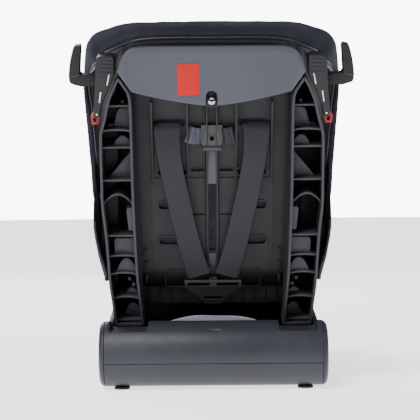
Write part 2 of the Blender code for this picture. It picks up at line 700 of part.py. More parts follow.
def build_harness(side, suffix):
    slot_up = lean_z(SLOT_HEIGHTS[-1], 0.0)
    x = side * STRAP_X
    front = [panel_point(x, 0.001, slot_up), panel_point(x, -0.020, slot_up),
             panel_point(x, -0.0335, slot_up), panel_point(x, -0.0385, slot_up - 0.010),
             panel_point(x, -0.0385, slot_up - 0.050), Vector((side * 0.055, 0.104, 0.345)),
             Vector((side * 0.040, 0.060, 0.318)), Vector((side * 0.027, 0.012, 0.321))]
    forward = Vector((0.0, -0.75, 0.65))
    strap("shoulder_strap_" + suffix, front, forward, WEBBING_WIDTH)
    path = smooth_path(front, 3)[12:19]
    pad = band_mesh("shoulder_pad_" + suffix, path, 0.050, forward, 0.0024, 0.0110)
    new_part("shoulder_pad_" + suffix, pad, "pad_fabric")

    lap = [Vector((side * 0.052, -0.003, 0.290)), Vector((side * 0.080, -0.004, 0.262)),
           Vector((side * 0.104, 0.006, 0.242)), Vector((side * 0.124, 0.024, 0.232))]
    strap("lap_strap_" + suffix, lap, Vector((0.0, -1.0, 0.35)), 0.030)

    rear = [(side * 0.0705, 0.0090, slot_up - 0.002), (side * 0.0735, 0.0175, slot_up - 0.016),
            (side * 0.0700, 0.0240, slot_up - 0.060), (side * 0.0560, 0.0250, 0.165),
            (side * 0.0400, 0.0240, 0.085), (side * 0.0260, 0.0222, 0.036)]
    strap("rear_strap_" + suffix, rear, Vector((0.0, 1.0, 0.0)), WEBBING_WIDTH, LEAN)

    tongue = [(0.0012, 0.014), (0.0150, 0.014), (0.0150, 0.042), (0.0450, 0.050), (0.0450, 0.066),
              (0.0012, 0.066)]
    hole = [(0.0060, 0.0555), (0.0400, 0.0555), (0.0400, 0.0605), (0.0060, 0.0605)]
    rear_outline("buckle_tongue_" + suffix, [mirrored(tongue, side), mirrored(hole, side)], 0.0030, 0.0050,
                 "steel", BUCKLE)
    band = [(side * 0.0185, 0.0115, lean_z(0.415, 0.01)), (side * 0.0220, 0.0118, lean_z(0.415, 0.01)),
            (side * 0.0300, 0.0118, lean_z(0.415, 0.01)), (side * 0.0400, 0.0112, lean_z(0.416, 0.01))]
    name = "pad_anchor_band_" + suffix
    mesh = band_mesh(name, smooth_path(band, 2), 0.028, Vector((0.0, 1.0, 0.0)), -0.001, 0.001)
    new_part(name, mesh, "webbing", LEAN)


def build_buckle():
    case = box_mesh("buckle_body", (-0.0260, -0.011, -0.034), (0.0260, 0.011, 0.034))
    body = new_part("buckle_body", case, "black_plastic", BUCKLE)
    add_bevel(body, 0.004)
    well = box_mesh("button_well", (-0.0176, -0.030, -0.0106), (0.0176, -0.0010, 0.0216))
    add_boolean(body, new_cutter("button_well", well, BUCKLE), "DIFFERENCE")
    throat = box_mesh("tongue_throat", (-0.0190, 0.0005, 0.0120), (0.0190, 0.0078, 0.0600))
    add_boolean(body, new_cutter("tongue_throat", throat, BUCKLE), "DIFFERENCE")
    rest = BUCKLE @ Matrix.Translation((0.0, -0.0100, 0.0055))
    axis = new_empty("button_axis", rest)
    button = box_mesh("buckle_button", (-0.0170, -0.0050, -0.0155), (0.0170, 0.0045, 0.0155))
    add_bevel(new_part("buckle_button", button, "red_plastic", rest, axis), 0.0015)
    crotch = [(0.0, -0.0860, 0.1820), (0.0, -0.0850, 0.205), (0.0, -0.0750, 0.222), (0.0, -0.0640, 0.2345)]
    strap("crotch_strap", crotch, Vector((0.0, -1.0, 0.2)), 0.036)
    pad = band_mesh("crotch_pad", smooth_path([(0.0, -0.0985, 0.2260), (0.0, -0.0880, 0.2400),
                                               (0.0, -0.0745, 0.2560)], 2), 0.056,
                    Vector((0.0, -1.0, 0.4)), 0.0, 0.008)
    new_part("crotch_pad", pad, "pad_fabric")


def build_pad_anchor():
    low, high = lean_z(0.393, 0.012), lean_z(0.432, 0.012)
    plate = [(0.0175, high), (0.0175, low + 0.010), (0.0110, low), (-0.0110, low), (-0.0175, low + 0.010),
             (-0.0175, high)]
    hole = circle((0.0, (low + high) / 2), 0.0055, 30)
    rear_outline("pad_anchor_plate", [plate, hole], 0.0095, 0.0135, "slate_plastic")


def build_splitter():
    low, high = -0.010, 0.0285
    plate = [(0.0480, high), (0.0480, high - 0.012), (0.0200, low), (-0.0200, low), (-0.0480, high - 0.012),
             (-0.0480, high)]
    slots = [[(0.0060, high - 0.010), (0.0430, high - 0.010), (0.0430, high - 0.005), (0.0060, high - 0.005)],
             [(-0.0430, high - 0.010), (-0.0060, high - 0.010), (-0.0060, high - 0.005),
              (-0.0430, high - 0.005)],
             [(-0.0155, low + 0.005), (0.0155, low + 0.005), (0.0155, low + 0.010), (-0.0155, low + 0.010)]]
    rear_outline("splitter_plate", [plate, *slots], 0.0210, 0.0235, "steel")
    under = 0.0045
    path = [panel_point(0.0, 0.0222, low - 0.002), Vector((0.0, 0.100, 0.134)),
            Vector((0.0, 0.050, 0.148))]
    for y in (-0.020, -0.110, -0.200):
        path.append(Vector((0.0, y, floor_height(y) - under)))
    path.append(Vector((0.0, -0.246, floor_height(-0.244) - under)))
    strap("adjuster_strap", path, Vector((0.0, 0.2, -1.0)), 0.030)


def build_adjuster():
    housing = box_mesh("adjuster_housing", (-0.026, -0.262, 0.186), (0.026, -0.2465, 0.224))
    body = new_part("adjuster_housing", housing, "black_plastic")
    add_bevel(body, 0.002)
    well = box_mesh("adjuster_well", (-0.0165, -0.270, 0.196), (0.0165, -0.2482, 0.230))
    add_boolean(body, new_cutter("adjuster_well", well), "DIFFERENCE")
    pivot = Matrix.Translation((0.0, -0.2535, 0.2000))
    axis = new_empty("adjuster_axis", pivot)
    lever = [(-0.0025, -0.0025), (0.0020, -0.0025), (0.0005, 0.0200), (-0.0035, 0.0250), (-0.0085, 0.0230),
             (-0.0035, 0.0150)]
    mesh = outline_mesh("adjuster_button", [lever], 0.032)
    new_part("adjuster_button", mesh, "slate_plastic", pivot @ SIDE_VIEW, axis)


# ---------------------------------------------------------------- the base

def roll_section(inset):
    """The rear roll's outline, round behind, from its foot up to its top."""
    half_height = (ROLL_TOP_Z - FOOT_HEIGHT) / 2
    centre_y, centre_z = ROLL_REAR_Y - half_height, FOOT_HEIGHT + half_height
    radius = half_height - inset
    angles = [math.radians(angle) for angle in range(-90, 91, 15)]
    return [(centre_y + radius * math.cos(angle), centre_z + radius * math.sin(angle)) for angle in angles]


def base_profile():
    """The whole base from the side."""
    rear = roll_section(0.0)
    top = [(ROLL_FRONT_Y, ROLL_TOP_Z), (0.140, 0.100), (0.050, 0.110), (-0.050, 0.121), (-0.150, 0.139),
           (-0.215, 0.148), (-0.240, 0.140), (BASE_FRONT_Y, 0.118)]
    foot = [(BASE_FRONT_Y, 0.016), (-0.238, FOOT_HEIGHT)]
    return rear + top + foot


def build_base():
    high_cut = box_mesh("above_split", (-0.3, -0.4, BASE_SPLIT_Z), (0.3, 0.4, 0.3))
    low_cut = box_mesh("below_split", (-0.3, -0.4, -0.1), (0.3, 0.4, BASE_SPLIT_Z + GAP))
    lower = side_outline("base_lower_shell", [base_profile()], -BASE_HALF_WIDTH, BASE_HALF_WIDTH,
                         "slate_plastic", None)
    upper = side_outline("base_upper_cover", [base_profile()], -BASE_HALF_WIDTH, BASE_HALF_WIDTH,
                         "slate_plastic", None)
    add_boolean(lower, new_cutter("above_split", high_cut), "DIFFERENCE")
    add_boolean(upper, new_cutter("below_split", low_cut), "DIFFERENCE")

    inner = BASE_HALF_WIDTH - BASE_WALL
    cavity = bmesh.new()
    add_box(cavity, (-inner, BASE_FRONT_Y + BASE_WALL, BASE_FLOOR_Z), (inner, ROLL_FRONT_Y - 0.004, 0.250))
    room = new_cutter("base_cavity", finish_bmesh("base_cavity", cavity))
    add_boolean(lower, room, "DIFFERENCE")
    add_boolean(upper, room, "DIFFERENCE")

    wall = 0.004
    hollow = [(y, min(z, NOTCH_FLOOR_Z - wall)) for y, z in roll_section(wall)]
    loop = hollow + [(ROLL_FRONT_Y + 0.002, hollow[-1][1]), (ROLL_FRONT_Y + 0.002, hollow[0][1])]
    mesh = outline_mesh("roll_hollow", [loop], 2 * (BASE_HALF_WIDTH + 0.01))
    inside = new_cutter("roll_hollow", mesh, SIDE_VIEW)
    add_boolean(lower, inside, "DIFFERENCE")
    add_boolean(upper, inside, "DIFFERENCE")

    openings = bmesh.new()
    for side in (-1, 1):
        middle = side * NOTCH_X
        add_box(openings, (middle - 0.0320, 0.120, NOTCH_FLOOR_Z), (middle + 0.0320, 0.250, 0.130))
    add_box(openings, (-0.062, -0.300, 0.126), (0.062, -0.220, 0.200))
    add_boolean(upper, new_cutter("base_openings", finish_bmesh("base_openings", openings)), "DIFFERENCE")

    for side, suffix in ((1, "left"), (-1, "right")):
        build_base_side(side, suffix)
    half_width = 0.0725
    spots = (1.0, 0.8, 0.6, 0.4, 0.2, 0.0, -0.2, -0.4, -0.6, -0.8, -1.0)
    leaflet = [(-half_width, -0.040), (half_width, -0.040)]
    leaflet += [(half_width * spot, 0.0060 - 0.0085 * spot ** 2) for spot in spots]
    tilt = Matrix.Translation((0.0, 0.1375, 0.1075)) @ Matrix.Rotation(math.radians(-6.0), 4, "X")
    rear_outline("instruction_leaflet", [leaflet], -0.0008, 0.0008, "paper", tilt, None)


def end_cap_mesh(side, name):
    """A shallow dome over the roll's open end, drawn as rings from its foot out to its crown."""
    bm = bmesh.new()
    rings = []
    for out, inset in ((GAP, 0.0), (0.0045, 0.0007), (0.0074, 0.0030), (0.0090, 0.0068), (0.0095, 0.0120)):
        top, foot = ROLL_TOP_Z - inset, FOOT_HEIGHT + inset
        outline = roll_section(inset) + [(ROLL_FRONT_Y + inset, top), (ROLL_FRONT_Y + inset, foot)]
        x = side * (BASE_HALF_WIDTH + out)
        rings.append([bm.verts.new((x, y, z)) for y, z in outline])
    for ring, following in zip(rings, rings[1:]):
        for index in range(len(ring)):
            nearby = (index + 1) % len(ring)
            bm.faces.new((ring[index], ring[nearby], following[nearby], following[index]))
    bm.faces.new(rings[0])
    bm.faces.new(rings[-1])
    return finish_bmesh(name, bm)


def build_base_side(side, suffix):
    name = "base_end_cap_" + suffix
    new_part(name, end_cap_mesh(side, name), "slate_plastic", axis=None)
    arc = rocker_arc(RAIL_RADIUS, -0.148, -0.030, 8)
    foot = [(-0.030, BASE_FLOOR_Z + GAP), (-0.148, BASE_FLOOR_Z + GAP)]
    hole = [(-0.125, 0.040), (-0.053, 0.040), (-0.053, 0.095), (-0.125, 0.110)]
    side_outline("base_rail_" + suffix, [arc + foot, hole], side * 0.1385, side * 0.1505,
                 "slate_plastic", None)
    for y, end in ((0.215, "rear"), (-0.205, "front")):
        pad = cylinder_mesh("foot", (0.0, 0.0, 0.0), 0.013, FOOT_HEIGHT - GAP, "Z", 20)
        place_at = Matrix.Translation((side * 0.150, y, (FOOT_HEIGHT - GAP) / 2))
        new_part("foot_pad_" + end + "_" + suffix, pad, "rubber", place_at, None)


def build_recline_handle():
    pivot = Matrix.Translation((0.0, HANDLE_Y, HANDLE_Z))
    axis = new_empty("handle_axis", pivot)
    blade = [(-0.041, -0.016), (-0.030, -0.010), (-0.010, -0.007), (0.040, -0.0215), (0.059, -0.0215),
             (0.059, -0.0065), (0.010, 0.007), (-0.010, 0.007), (-0.032, 0.003), (-0.041, 0.003),
             (-0.044, -0.006)]
    bar_at = (LATCH_Y - HANDLE_Y, LATCH_Z - HANDLE_Z)
    loops = [blade, circle((0.0, 0.0), 0.0034), circle(bar_at, 0.0045)]
    mesh = outline_mesh("recline_handle", loops, 0.104)
    new_part("recline_handle", mesh, "slate_plastic", pivot @ SIDE_VIEW, axis)
    bar = cylinder_mesh("recline_latch_bar", (0.0, *bar_at), 0.004, 0.308, "X", 16)
    new_part("recline_latch_bar", bar, "steel", pivot, axis)
    axle = cylinder_mesh("handle_axle", (0.0, 0.0, 0.0), 0.003, 0.1465, "X", 12)
    new_part("handle_axle", axle, "steel", pivot, None)
    for side, suffix in ((1, "left"), (-1, "right")):
        bracket = [(-0.0205, -0.0097), (-0.0205, -0.0200), (0.0030, -0.0200), (0.0080, 0.0060),
                   (-0.0080, 0.0060)]
        mesh = outline_mesh("handle_bracket_" + suffix, [bracket, circle((0.0, 0.0), 0.0033)], 0.008)
        frame = pivot @ Matrix.Translation((side * 0.0670, 0.0, 0.0)) @ SIDE_VIEW
        new_part("handle_bracket_" + suffix, mesh, "slate_plastic", frame, None)
    coil = bpy.data.curves.new("handle_spring", "CURVE")
    coil.dimensions = "3D"
    coil.bevel_depth = 0.0007
    coil.bevel_resolution = 1
    coil.use_fill_caps = True
    spline = coil.splines.new("POLY")
    turns, per_turn = 3, 12
    spline.points.add(turns * per_turn)
    for index, point in enumerate(spline.points):
        angle = 2 * math.pi * index / per_turn
        point.co = (0.0545 + 0.0065 * index / (turns * per_turn), 0.0052 * math.cos(angle),
                    0.0052 * math.sin(angle), 1.0)
    coil.materials.append(MATERIALS["steel"])
    spring = bpy.data.objects.new("handle_spring", coil)
    PARTS.objects.link(spring)
    place(spring, pivot)


build_shell()
build_crossbar()
build_pads()
build_rim_cover()
for side_sign, side_name in ((1, "left"), (-1, "right")):
    build_column(side_sign, "rear_column_" + side_name)
    build_rocker(side_sign, "rocker_" + side_name)
    build_belt_clamp(side_sign, side_name)
    build_harness(side_sign, side_name)
build_buckle()
build_pad_anchor()
build_splitter()
build_adjuster()
build_base()
build_recline_handle()
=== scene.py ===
"""The looks of the convertible car seat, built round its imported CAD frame."""
import math

import bmesh
import bpy
from mathutils import Matrix, Vector, noise


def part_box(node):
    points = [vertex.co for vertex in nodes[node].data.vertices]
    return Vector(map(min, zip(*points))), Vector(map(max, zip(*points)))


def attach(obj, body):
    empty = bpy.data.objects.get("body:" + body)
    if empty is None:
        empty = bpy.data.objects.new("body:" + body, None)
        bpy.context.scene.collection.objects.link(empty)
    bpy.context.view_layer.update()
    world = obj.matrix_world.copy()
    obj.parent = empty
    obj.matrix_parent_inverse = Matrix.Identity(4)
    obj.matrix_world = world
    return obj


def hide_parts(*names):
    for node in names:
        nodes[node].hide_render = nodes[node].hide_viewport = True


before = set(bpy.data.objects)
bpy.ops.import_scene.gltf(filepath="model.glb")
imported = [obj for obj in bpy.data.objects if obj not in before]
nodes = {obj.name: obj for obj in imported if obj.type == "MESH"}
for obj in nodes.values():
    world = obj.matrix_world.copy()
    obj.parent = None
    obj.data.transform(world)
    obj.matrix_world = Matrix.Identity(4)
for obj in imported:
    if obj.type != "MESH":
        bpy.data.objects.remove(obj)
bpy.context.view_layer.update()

# ---------------------------------------------------------------- dimensions shared with the CAD

BACK_SLOPE = 0.25
LEAN_ANGLE = math.atan(BACK_SLOPE)
PANEL_FOOT = Vector((0.0, 0.097, 0.150))
LEAN = Matrix.Translation(PANEL_FOOT) @ Matrix.Rotation(-LEAN_ANGLE, 4, "X")
IDENTITY = Matrix.Identity(4)
REAR_VIEW = Matrix.Rotation(math.radians(90.0), 4, "X")
COLUMN_DEPTH = 0.055
SHELL_THICKNESS = 0.0035
STRAP_X = 0.0665
SLOT_HEIGHTS = (0.240, 0.300, 0.356, 0.437)
SLOT_HALF = (0.0240, 0.0062)      # half a slot's width and height
SIDES = ((1, "left"), (-1, "right"))
STATIONS = (
    ((-0.245, 0.203), (-0.252, 0.268), 0.150, 0.183),
    ((-0.200, 0.205), (-0.195, 0.285), 0.150, 0.190),
    ((-0.110, 0.188), (-0.110, 0.303), 0.150, 0.195),
    ((-0.020, 0.168), (-0.030, 0.318), 0.150, 0.196),
    ((0.050, 0.157), (0.000, 0.340), 0.150, 0.196),
    ((0.092, 0.168), (0.018, 0.362), 0.150, 0.196),
    ((0.1076, 0.192), (0.028, 0.385), 0.152, 0.197),
    ((0.1296, 0.280), (0.035, 0.425), 0.156, 0.200),
    ((0.1546, 0.380), (0.045, 0.475), 0.160, 0.204),
    ((0.1746, 0.460), (0.065, 0.520), 0.162, 0.206),
    ((0.1896, 0.520), (0.105, 0.556), 0.160, 0.197),
    ((0.1996, 0.560), (0.150, 0.574), 0.150, 0.181),
    ((0.2053, 0.583), (0.190, 0.583), 0.125, 0.148),
)
BACK_START = 6
LAST_STATION = len(STATIONS) - 1
FLANGE_WIDTH = 0.006


# ---------------------------------------------------------------- mesh helpers

def mesh_from(bm, name):
    bmesh.ops.recalc_face_normals(bm, faces=bm.faces)
    mesh = bpy.data.meshes.new(name)
    bm.to_mesh(mesh)
    bm.free()
    return mesh


def add_piece(name, mesh, material, body, stands_for=(), matrix=IDENTITY, smooth=40.0):
    """A visible piece that rides on a body and may stand for CAD nodes."""
    if isinstance(mesh, bmesh.types.BMesh):
        mesh = mesh_from(mesh, name)
    mesh.transform(matrix)
    if matrix.determinant() < 0:
        mesh.flip_normals()
    mesh.materials.clear()
    mesh.materials.append(MATERIALS[material])
    obj = bpy.data.objects.new(name, mesh)
    bpy.context.scene.collection.objects.link(obj)
    shade(obj, smooth)
    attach(obj, body)
    if stands_for:
        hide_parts(*stands_for)
    return obj


def shade(obj, angle=40.0):
    obj.data.shade_smooth()
    obj.data.set_sharp_from_angle(angle=math.radians(angle))


def evaluated_mesh(obj):
    graph = bpy.context.evaluated_depsgraph_get()
    graph.update()
    return bpy.data.meshes.new_from_object(obj.evaluated_get(graph))


def apply_modifiers(obj):
    """Bake an object's modifiers into its mesh, and keep its material."""
    materials = list(obj.data.materials)
    mesh = evaluated_mesh(obj)
    obj.modifiers.clear()
    obj.data = mesh
    obj.data.materials.clear()
    for material in materials:
        obj.data.materials.append(material)


def temporary(mesh, name):
    if isinstance(mesh, bmesh.types.BMesh):
        mesh = mesh_from(mesh, name)
    obj = bpy.data.objects.new(name, mesh)
    bpy.context.scene.collection.objects.link(obj)
    return obj


def boolean(obj, other_mesh, operation="DIFFERENCE", matrix=IDENTITY):
    """Cut or join a mesh with another at once."""
    other = temporary(other_mesh, "cutter")
    other.data.transform(matrix)
    modifier = obj.modifiers.new("boolean", "BOOLEAN")
    modifier.operation = operation
    modifier.solver = "EXACT"
    modifier.object = other
    apply_modifiers(obj)
    bpy.data.objects.remove(other)


def bevel(obj, width, segments, angle=35.0):
    modifier = obj.modifiers.new("edges", "BEVEL")
    modifier.width = width
    modifier.segments = segments
    modifier.limit_method = "ANGLE"
    modifier.angle_limit = math.radians(angle)
    modifier.use_clamp_overlap = True
    apply_modifiers(obj)
    shade(obj)


def subdivide(obj):
    modifier = obj.modifiers.new("smooth", "SUBSURF")
    modifier.levels = 1
    modifier.render_levels = 1
    apply_modifiers(obj)
    obj.data.shade_smooth()


def add_box(bm, low, high):
    low, high = Vector(low), Vector(high)
    fit = Matrix.Translation((low + high) / 2) @ Matrix.Diagonal((*(high - low), 1.0))
    bmesh.ops.create_cube(bm, size=1.0, matrix=fit)


TURNS = {"X": Matrix.Rotation(math.pi / 2, 4, "Y"), "Y": Matrix.Rotation(math.pi / 2, 4, "X"), "Z": IDENTITY}


def add_cylinder(bm, centre, radius, length, along, segments, end_radius=None):
    matrix = Matrix.Translation(centre) @ TURNS[along]
    bmesh.ops.create_cone(bm, cap_ends=True, segments=segments, radius1=radius,
                          radius2=radius if end_radius is None else end_radius, depth=length, matrix=matrix)


def circle(centre, radius, count, start=0.0, turn=360.0):
    steps = count if turn == 360.0 else count - 1
    angles = [math.radians(start + turn * index / steps) for index in range(count)]
    return [(centre[0] + radius * math.cos(angle), centre[1] + radius * math.sin(angle)) for angle in angles]


ROUND_STEPS = 5                   # the steps in each rounded corner of an outline


def rounded(points, radius):
    """An outline with its corners rounded; radius is one value or one for each corner."""
    count = len(points)
    radii = radius if isinstance(radius, (list, tuple)) else [radius] * count
    outline = []
    for index in range(count):
        here = Vector(points[index])
        back = Vector(points[index - 1]) - here
        ahead = Vector(points[(index + 1) % count]) - here
        reach = radii[index]
        if reach <= 0:
            outline.append(tuple(here))
            continue
        reach = min(reach, back.length * 0.48, ahead.length * 0.48)
        start = here + back.normalized() * reach
        end = here + ahead.normalized() * reach
        for step in range(ROUND_STEPS + 1):
            t = step / ROUND_STEPS
            point = start * (1 - t) ** 2 + here * 2 * t * (1 - t) + end * t ** 2
            outline.append(tuple(point))
    return outline


def outline_mesh(loops, thickness):
    """A flat outline with holes, thickness / 2 to each side of its plane."""
    curve = bpy.data.curves.new("outline", "CURVE")
    curve.dimensions = "2D"
    curve.fill_mode = "BOTH"
    curve.extrude = thickness / 2
    for loop in loops:
        spline = curve.splines.new("POLY")
        spline.points.add(len(loop) - 1)
        for point, (across, up) in zip(spline.points, loop):
            point.co = (across, up, 0.0, 1.0)
        spline.use_cyclic_u = True
    holder = bpy.data.objects.new("outline", curve)
    bpy.context.scene.collection.objects.link(holder)
    mesh = evaluated_mesh(holder)
    bpy.data.objects.remove(holder)
    bm = bmesh.new()
    bm.from_mesh(mesh)
    bmesh.ops.remove_doubles(bm, verts=bm.verts, dist=0.00001)
    bmesh.ops.dissolve_limit(bm, angle_limit=math.radians(0.5), verts=bm.verts, edges=bm.edges)
    bmesh.ops.recalc_face_normals(bm, faces=bm.faces)
    bm.to_mesh(mesh)
    bm.free()
    return mesh


def rear_plate(name, loops, depth_from, depth_to, material, body, stands_for=(), *, edge, segments=2):
    """A plate drawn in x and z as seen from behind, with rounded edges."""
    mesh = outline_mesh(loops, depth_to - depth_from)
    middle = Matrix.Translation((0.0, (depth_from + depth_to) / 2, 0.0))
    obj = add_piece(name, mesh, material, body, stands_for, LEAN @ middle @ REAR_VIEW)
    bevel(obj, edge, segments)
    return obj


def mirrored(loop, side):
    return [(side * point[0], *point[1:]) for point in loop]


def flipped(point):
    return Vector((-point.x, point.y, point.z))


def both_sides(half):
    """Points up to the middle, and the same points mirrored from there on."""
    return half + [flipped(point) for point in half[-2::-1]]


def lean_z(height, depth):
    """The panel coordinate z of a point at a world height and a depth behind the panel."""
    return (height - PANEL_FOOT.z + depth * math.sin(LEAN_ANGLE)) / math.cos(LEAN_ANGLE)


def hermite(start, end, leave, arrive, t):
    a = 2 * t ** 3 - 3 * t ** 2 + 1
    b = t ** 3 - 2 * t ** 2 + t
    c = -2 * t ** 3 + 3 * t ** 2
    d = t ** 3 - t ** 2
    return start * a + leave * b + end * c + arrive * d


def smooth_path(points, steps):
    """Points on a smooth curve through the given ones."""
    points = [Vector(point) for point in points]
    path = []
    for index in range(len(points) - 1):
        before = points[max(index - 1, 0)]
        start, end = points[index], points[index + 1]
        after = points[min(index + 2, len(points) - 1)]
        for step in range(steps):
            path.append(hermite(start, end, (end - before) / 2, (after - start) / 2, step / steps))
    path.append(points[-1])
    return path


def ease(low, high, value):
    """0 below low, 1 above high and smooth between."""
    t = min(max((value - low) / (high - low), 0.0), 1.0)
    return t * t * (3 - 2 * t)


# ---------------------------------------------------------------- the bucket's surface

def station_value(position, pick):
    index = min(int(position), LAST_STATION - 1)
    values = [pick(station) for station in STATIONS]
    start, end = values[index], values[index + 1]
    before = values[max(index - 1, 0)]
    after = values[min(index + 2, LAST_STATION)]
    leave, arrive = (end - before) / 2, (after - start) / 2
    if index == BACK_START:
        leave = end - start
    if index == BACK_START - 1:
        arrive = (after - end) * 0.3
    return hermite(start, end, leave, arrive, position - index)


def floor_point(position):
    return station_value(position, lambda station: Vector((0.0, *station[0])))


def rim_point(position):
    return station_value(position, lambda station: Vector((0.0, *station[1])))


def floor_half_width(position):
    return station_value(position, lambda station: station[2])


def rim_half_width(position):
    return station_value(position, lambda station: station[3])


def bucket_point(position, place):
    """The outer surface: place is 0 mid floor, 1 to 2 the corner, 3 the rim, 4 the flange's edge."""
    side = -1.0 if place < 0 else 1.0
    where = abs(place)
    floor, rim = floor_point(position), rim_point(position)
    height = (rim - floor).length
    rise = (rim - floor) / height
    corner = min(0.040, 0.45 * height)
    half_floor, half_rim = floor_half_width(position), rim_half_width(position)
    if where <= 1.0:
        across, up = (half_floor - corner) * where, 0.0
    elif where <= 2.0:
        turn = (where - 1.0) * math.pi / 2
        across = half_floor - corner + corner * math.sin(turn)
        up = corner * (1 - math.cos(turn))
    elif where <= 3.0:
        t = where - 2.0
        bend = Vector((half_floor + 0.004, (corner + height) / 2))
        wing = (Vector((half_floor, corner)) * (1 - t) ** 2 + bend * 2 * t * (1 - t)
                + Vector((half_rim, height)) * t ** 2)
        across, up = wing
    else:
        across, up = half_rim + FLANGE_WIDTH * (where - 3.0), height
    return floor + rise * up + Vector((side * across, 0.0, 0.0))


def inward(position, place):
    """The bucket's normal, towards the child."""
    step = 0.02
    low, high = max(position - step, 0.0), min(position + step, LAST_STATION)
    along = bucket_point(high, place) - bucket_point(low, place)
    near, far = max(place - step, -3.0), min(place + step, 3.0)
    across = bucket_point(position, far) - bucket_point(position, near)
    return across.cross(along).normalized()


def spread(first, last, count):
    return [first + (last - first) * index / count for index in range(count + 1)]


def grid_faces(bm, grid):
    for row, following in zip(grid, grid[1:]):
        for index in range(len(row) - 1):
            bm.faces.new((row[index], row[index + 1], following[index + 1], following[index]))


def closed_grid(lower, upper):
    """A closed body between two grids of points of the same size."""
    bm = bmesh.new()
    low = [[bm.verts.new(point) for point in row] for row in lower]
    high = [[bm.verts.new(point) for point in row] for row in upper]
    grid_faces(bm, low)
    grid_faces(bm, high)
    sides = (([row[0] for row in low], [row[0] for row in high]),
             ([row[-1] for row in low], [row[-1] for row in high]), (low[0], high[0]), (low[-1], high[-1]))
    for below, above in sides:
        for index in range(len(below) - 1):
            bm.faces.new((below[index], below[index + 1], above[index + 1], above[index]))
    return bm


# ---------------------------------------------------------------- materials

class Nodes:
    """A short way to write a material's node tree."""

    def __init__(self, name):
        self.material = bpy.data.materials.new(name)
        self.material.use_nodes = True
        self.tree = self.material.node_tree
        self.shader = self.tree.nodes["Principled BSDF"]

    def add(self, kind, **settings):
        node = self.tree.nodes.new(kind)
        for key, value in settings.items():
            if hasattr(node, key):
                setattr(node, key, value)
            else:
                node.inputs[key.replace("_", " ")].default_value = value
        return node

    def link(self, source, target):
        self.tree.links.new(source, target)

    def coords(self, kind="Object"):
        return self.add("ShaderNodeTexCoord").outputs[kind]

    def noise(self, scale, detail, roughness, stretch=None):
        node = self.add("ShaderNodeTexNoise")
        node.inputs["Scale"].default_value = scale
        node.inputs["Detail"].default_value = detail
        node.inputs["Roughness"].default_value = roughness
        source = self.coords()
        if stretch is not None:
            mapping = self.add("ShaderNodeMapping")
            mapping.inputs["Scale"].default_value = stretch
            self.link(source, mapping.inputs["Vector"])
            source = mapping.outputs["Vector"]
        self.link(source, node.inputs["Vector"])
        return node.outputs["Fac"]

    def ramp(self, source, stops):
        node = self.add("ShaderNodeValToRGB")
        elements = node.color_ramp.elements
        while len(elements) < len(stops):
            elements.new(0.5)
        for element, (position, colour) in zip(elements, stops):
            element.position = position
            element.color = (*colour, 1.0) if len(colour) == 3 else colour
        self.link(source, node.inputs["Fac"])
        return node.outputs["Color"]

    def rescale(self, source, low, high, out_low, out_high):
        node = self.add("ShaderNodeMapRange")
        for key, value in (("From Min", low), ("From Max", high), ("To Min", out_low), ("To Max", out_high)):
            node.inputs[key].default_value = value
        self.link(source, node.inputs["Value"])
        return node.outputs["Result"]

    def math(self, operation, first, second):
        node = self.add("ShaderNodeMath", operation=operation)
        for socket, value in zip(node.inputs, (first, second)):
            if isinstance(value, (int, float)):
                socket.default_value = value
            else:
                self.link(value, socket)
        return node.outputs["Value"]

    def mix(self, factor, first, second):
        node = self.add("ShaderNodeMix", data_type="RGBA")
        self.link(factor, node.inputs["Factor"])
        for key, value in (("A", first), ("B", second)):
            socket = [item for item in node.inputs if item.name == key and item.type == "RGBA"][0]
            if isinstance(value, tuple):
                socket.default_value = (*value, 1.0)
            else:
                self.link(value, socket)
        return [item for item in node.outputs if item.type == "RGBA"][0]

    def bump(self, height, strength, distance, below=None):
        node = self.add("ShaderNodeBump")
        node.inputs["Strength"].default_value = strength
        node.inputs["Distance"].default_value = distance
        self.link(height, node.inputs["Height"])
        if below is not None:
            self.link(below, node.inputs["Normal"])
        return node.outputs["Normal"]

    def set(self, **values):
        for key, value in values.items():
            socket = self.shader.inputs[key.replace("_", " ")]
            if isinstance(value, (int, float)):
                socket.default_value = value
            elif isinstance(value, tuple):
                socket.default_value = (*value, 1.0)
            else:
                self.link(value, socket)
        return self.material


def scaled(colour, factor):
    return tuple(min(channel * factor, 1.0) for channel in colour)


def moulded_plastic(name, colour, rough, grain=0.00006, mottle=0.25, wear_and_highlight=1.6):
    """Moulded plastic: spark-eroded grain, faint flow marks, dusty patches, and edges lighter in patches,
    partly scuffs and partly a painted highlight.
    """
    n = Nodes(name)
    flow = n.noise(9.0, 3.0, 0.5, stretch=(1.0, 1.0, 0.35))
    patches = n.noise(38.0, 5.0, 0.6)
    speck = n.noise(900.0, 2.0, 0.5)
    base = n.ramp(flow, ((0.30, scaled(colour, 1.0 - mottle)), (0.72, scaled(colour, 1.0 + mottle))))
    dusty = n.rescale(patches, 0.52, 0.80, 0.0, 0.22)
    base = n.mix(dusty, base, scaled(colour, wear_and_highlight + 0.2))
    # Convex edges made lighter in patches: partly scuffs, partly a painted edge highlight.
    edge = n.add("ShaderNodeNewGeometry").outputs["Pointiness"]
    edge_scuffs_and_highlight = n.rescale(edge, 0.53, 0.62, 0.0, 0.45)
    edge_scuffs_and_highlight = n.math("MULTIPLY", edge_scuffs_and_highlight, patches)
    base = n.mix(edge_scuffs_and_highlight, base, scaled(colour, wear_and_highlight * 1.8))
    roughness = n.rescale(patches, 0.25, 0.75, rough - 0.07, rough + 0.09)
    normal = n.bump(speck, 0.35, grain)
    normal = n.bump(flow, 0.12, 0.0004, normal)
    return n.set(Base_Color=base, Roughness=roughness, Normal=normal, Specular_IOR_Level=0.28)


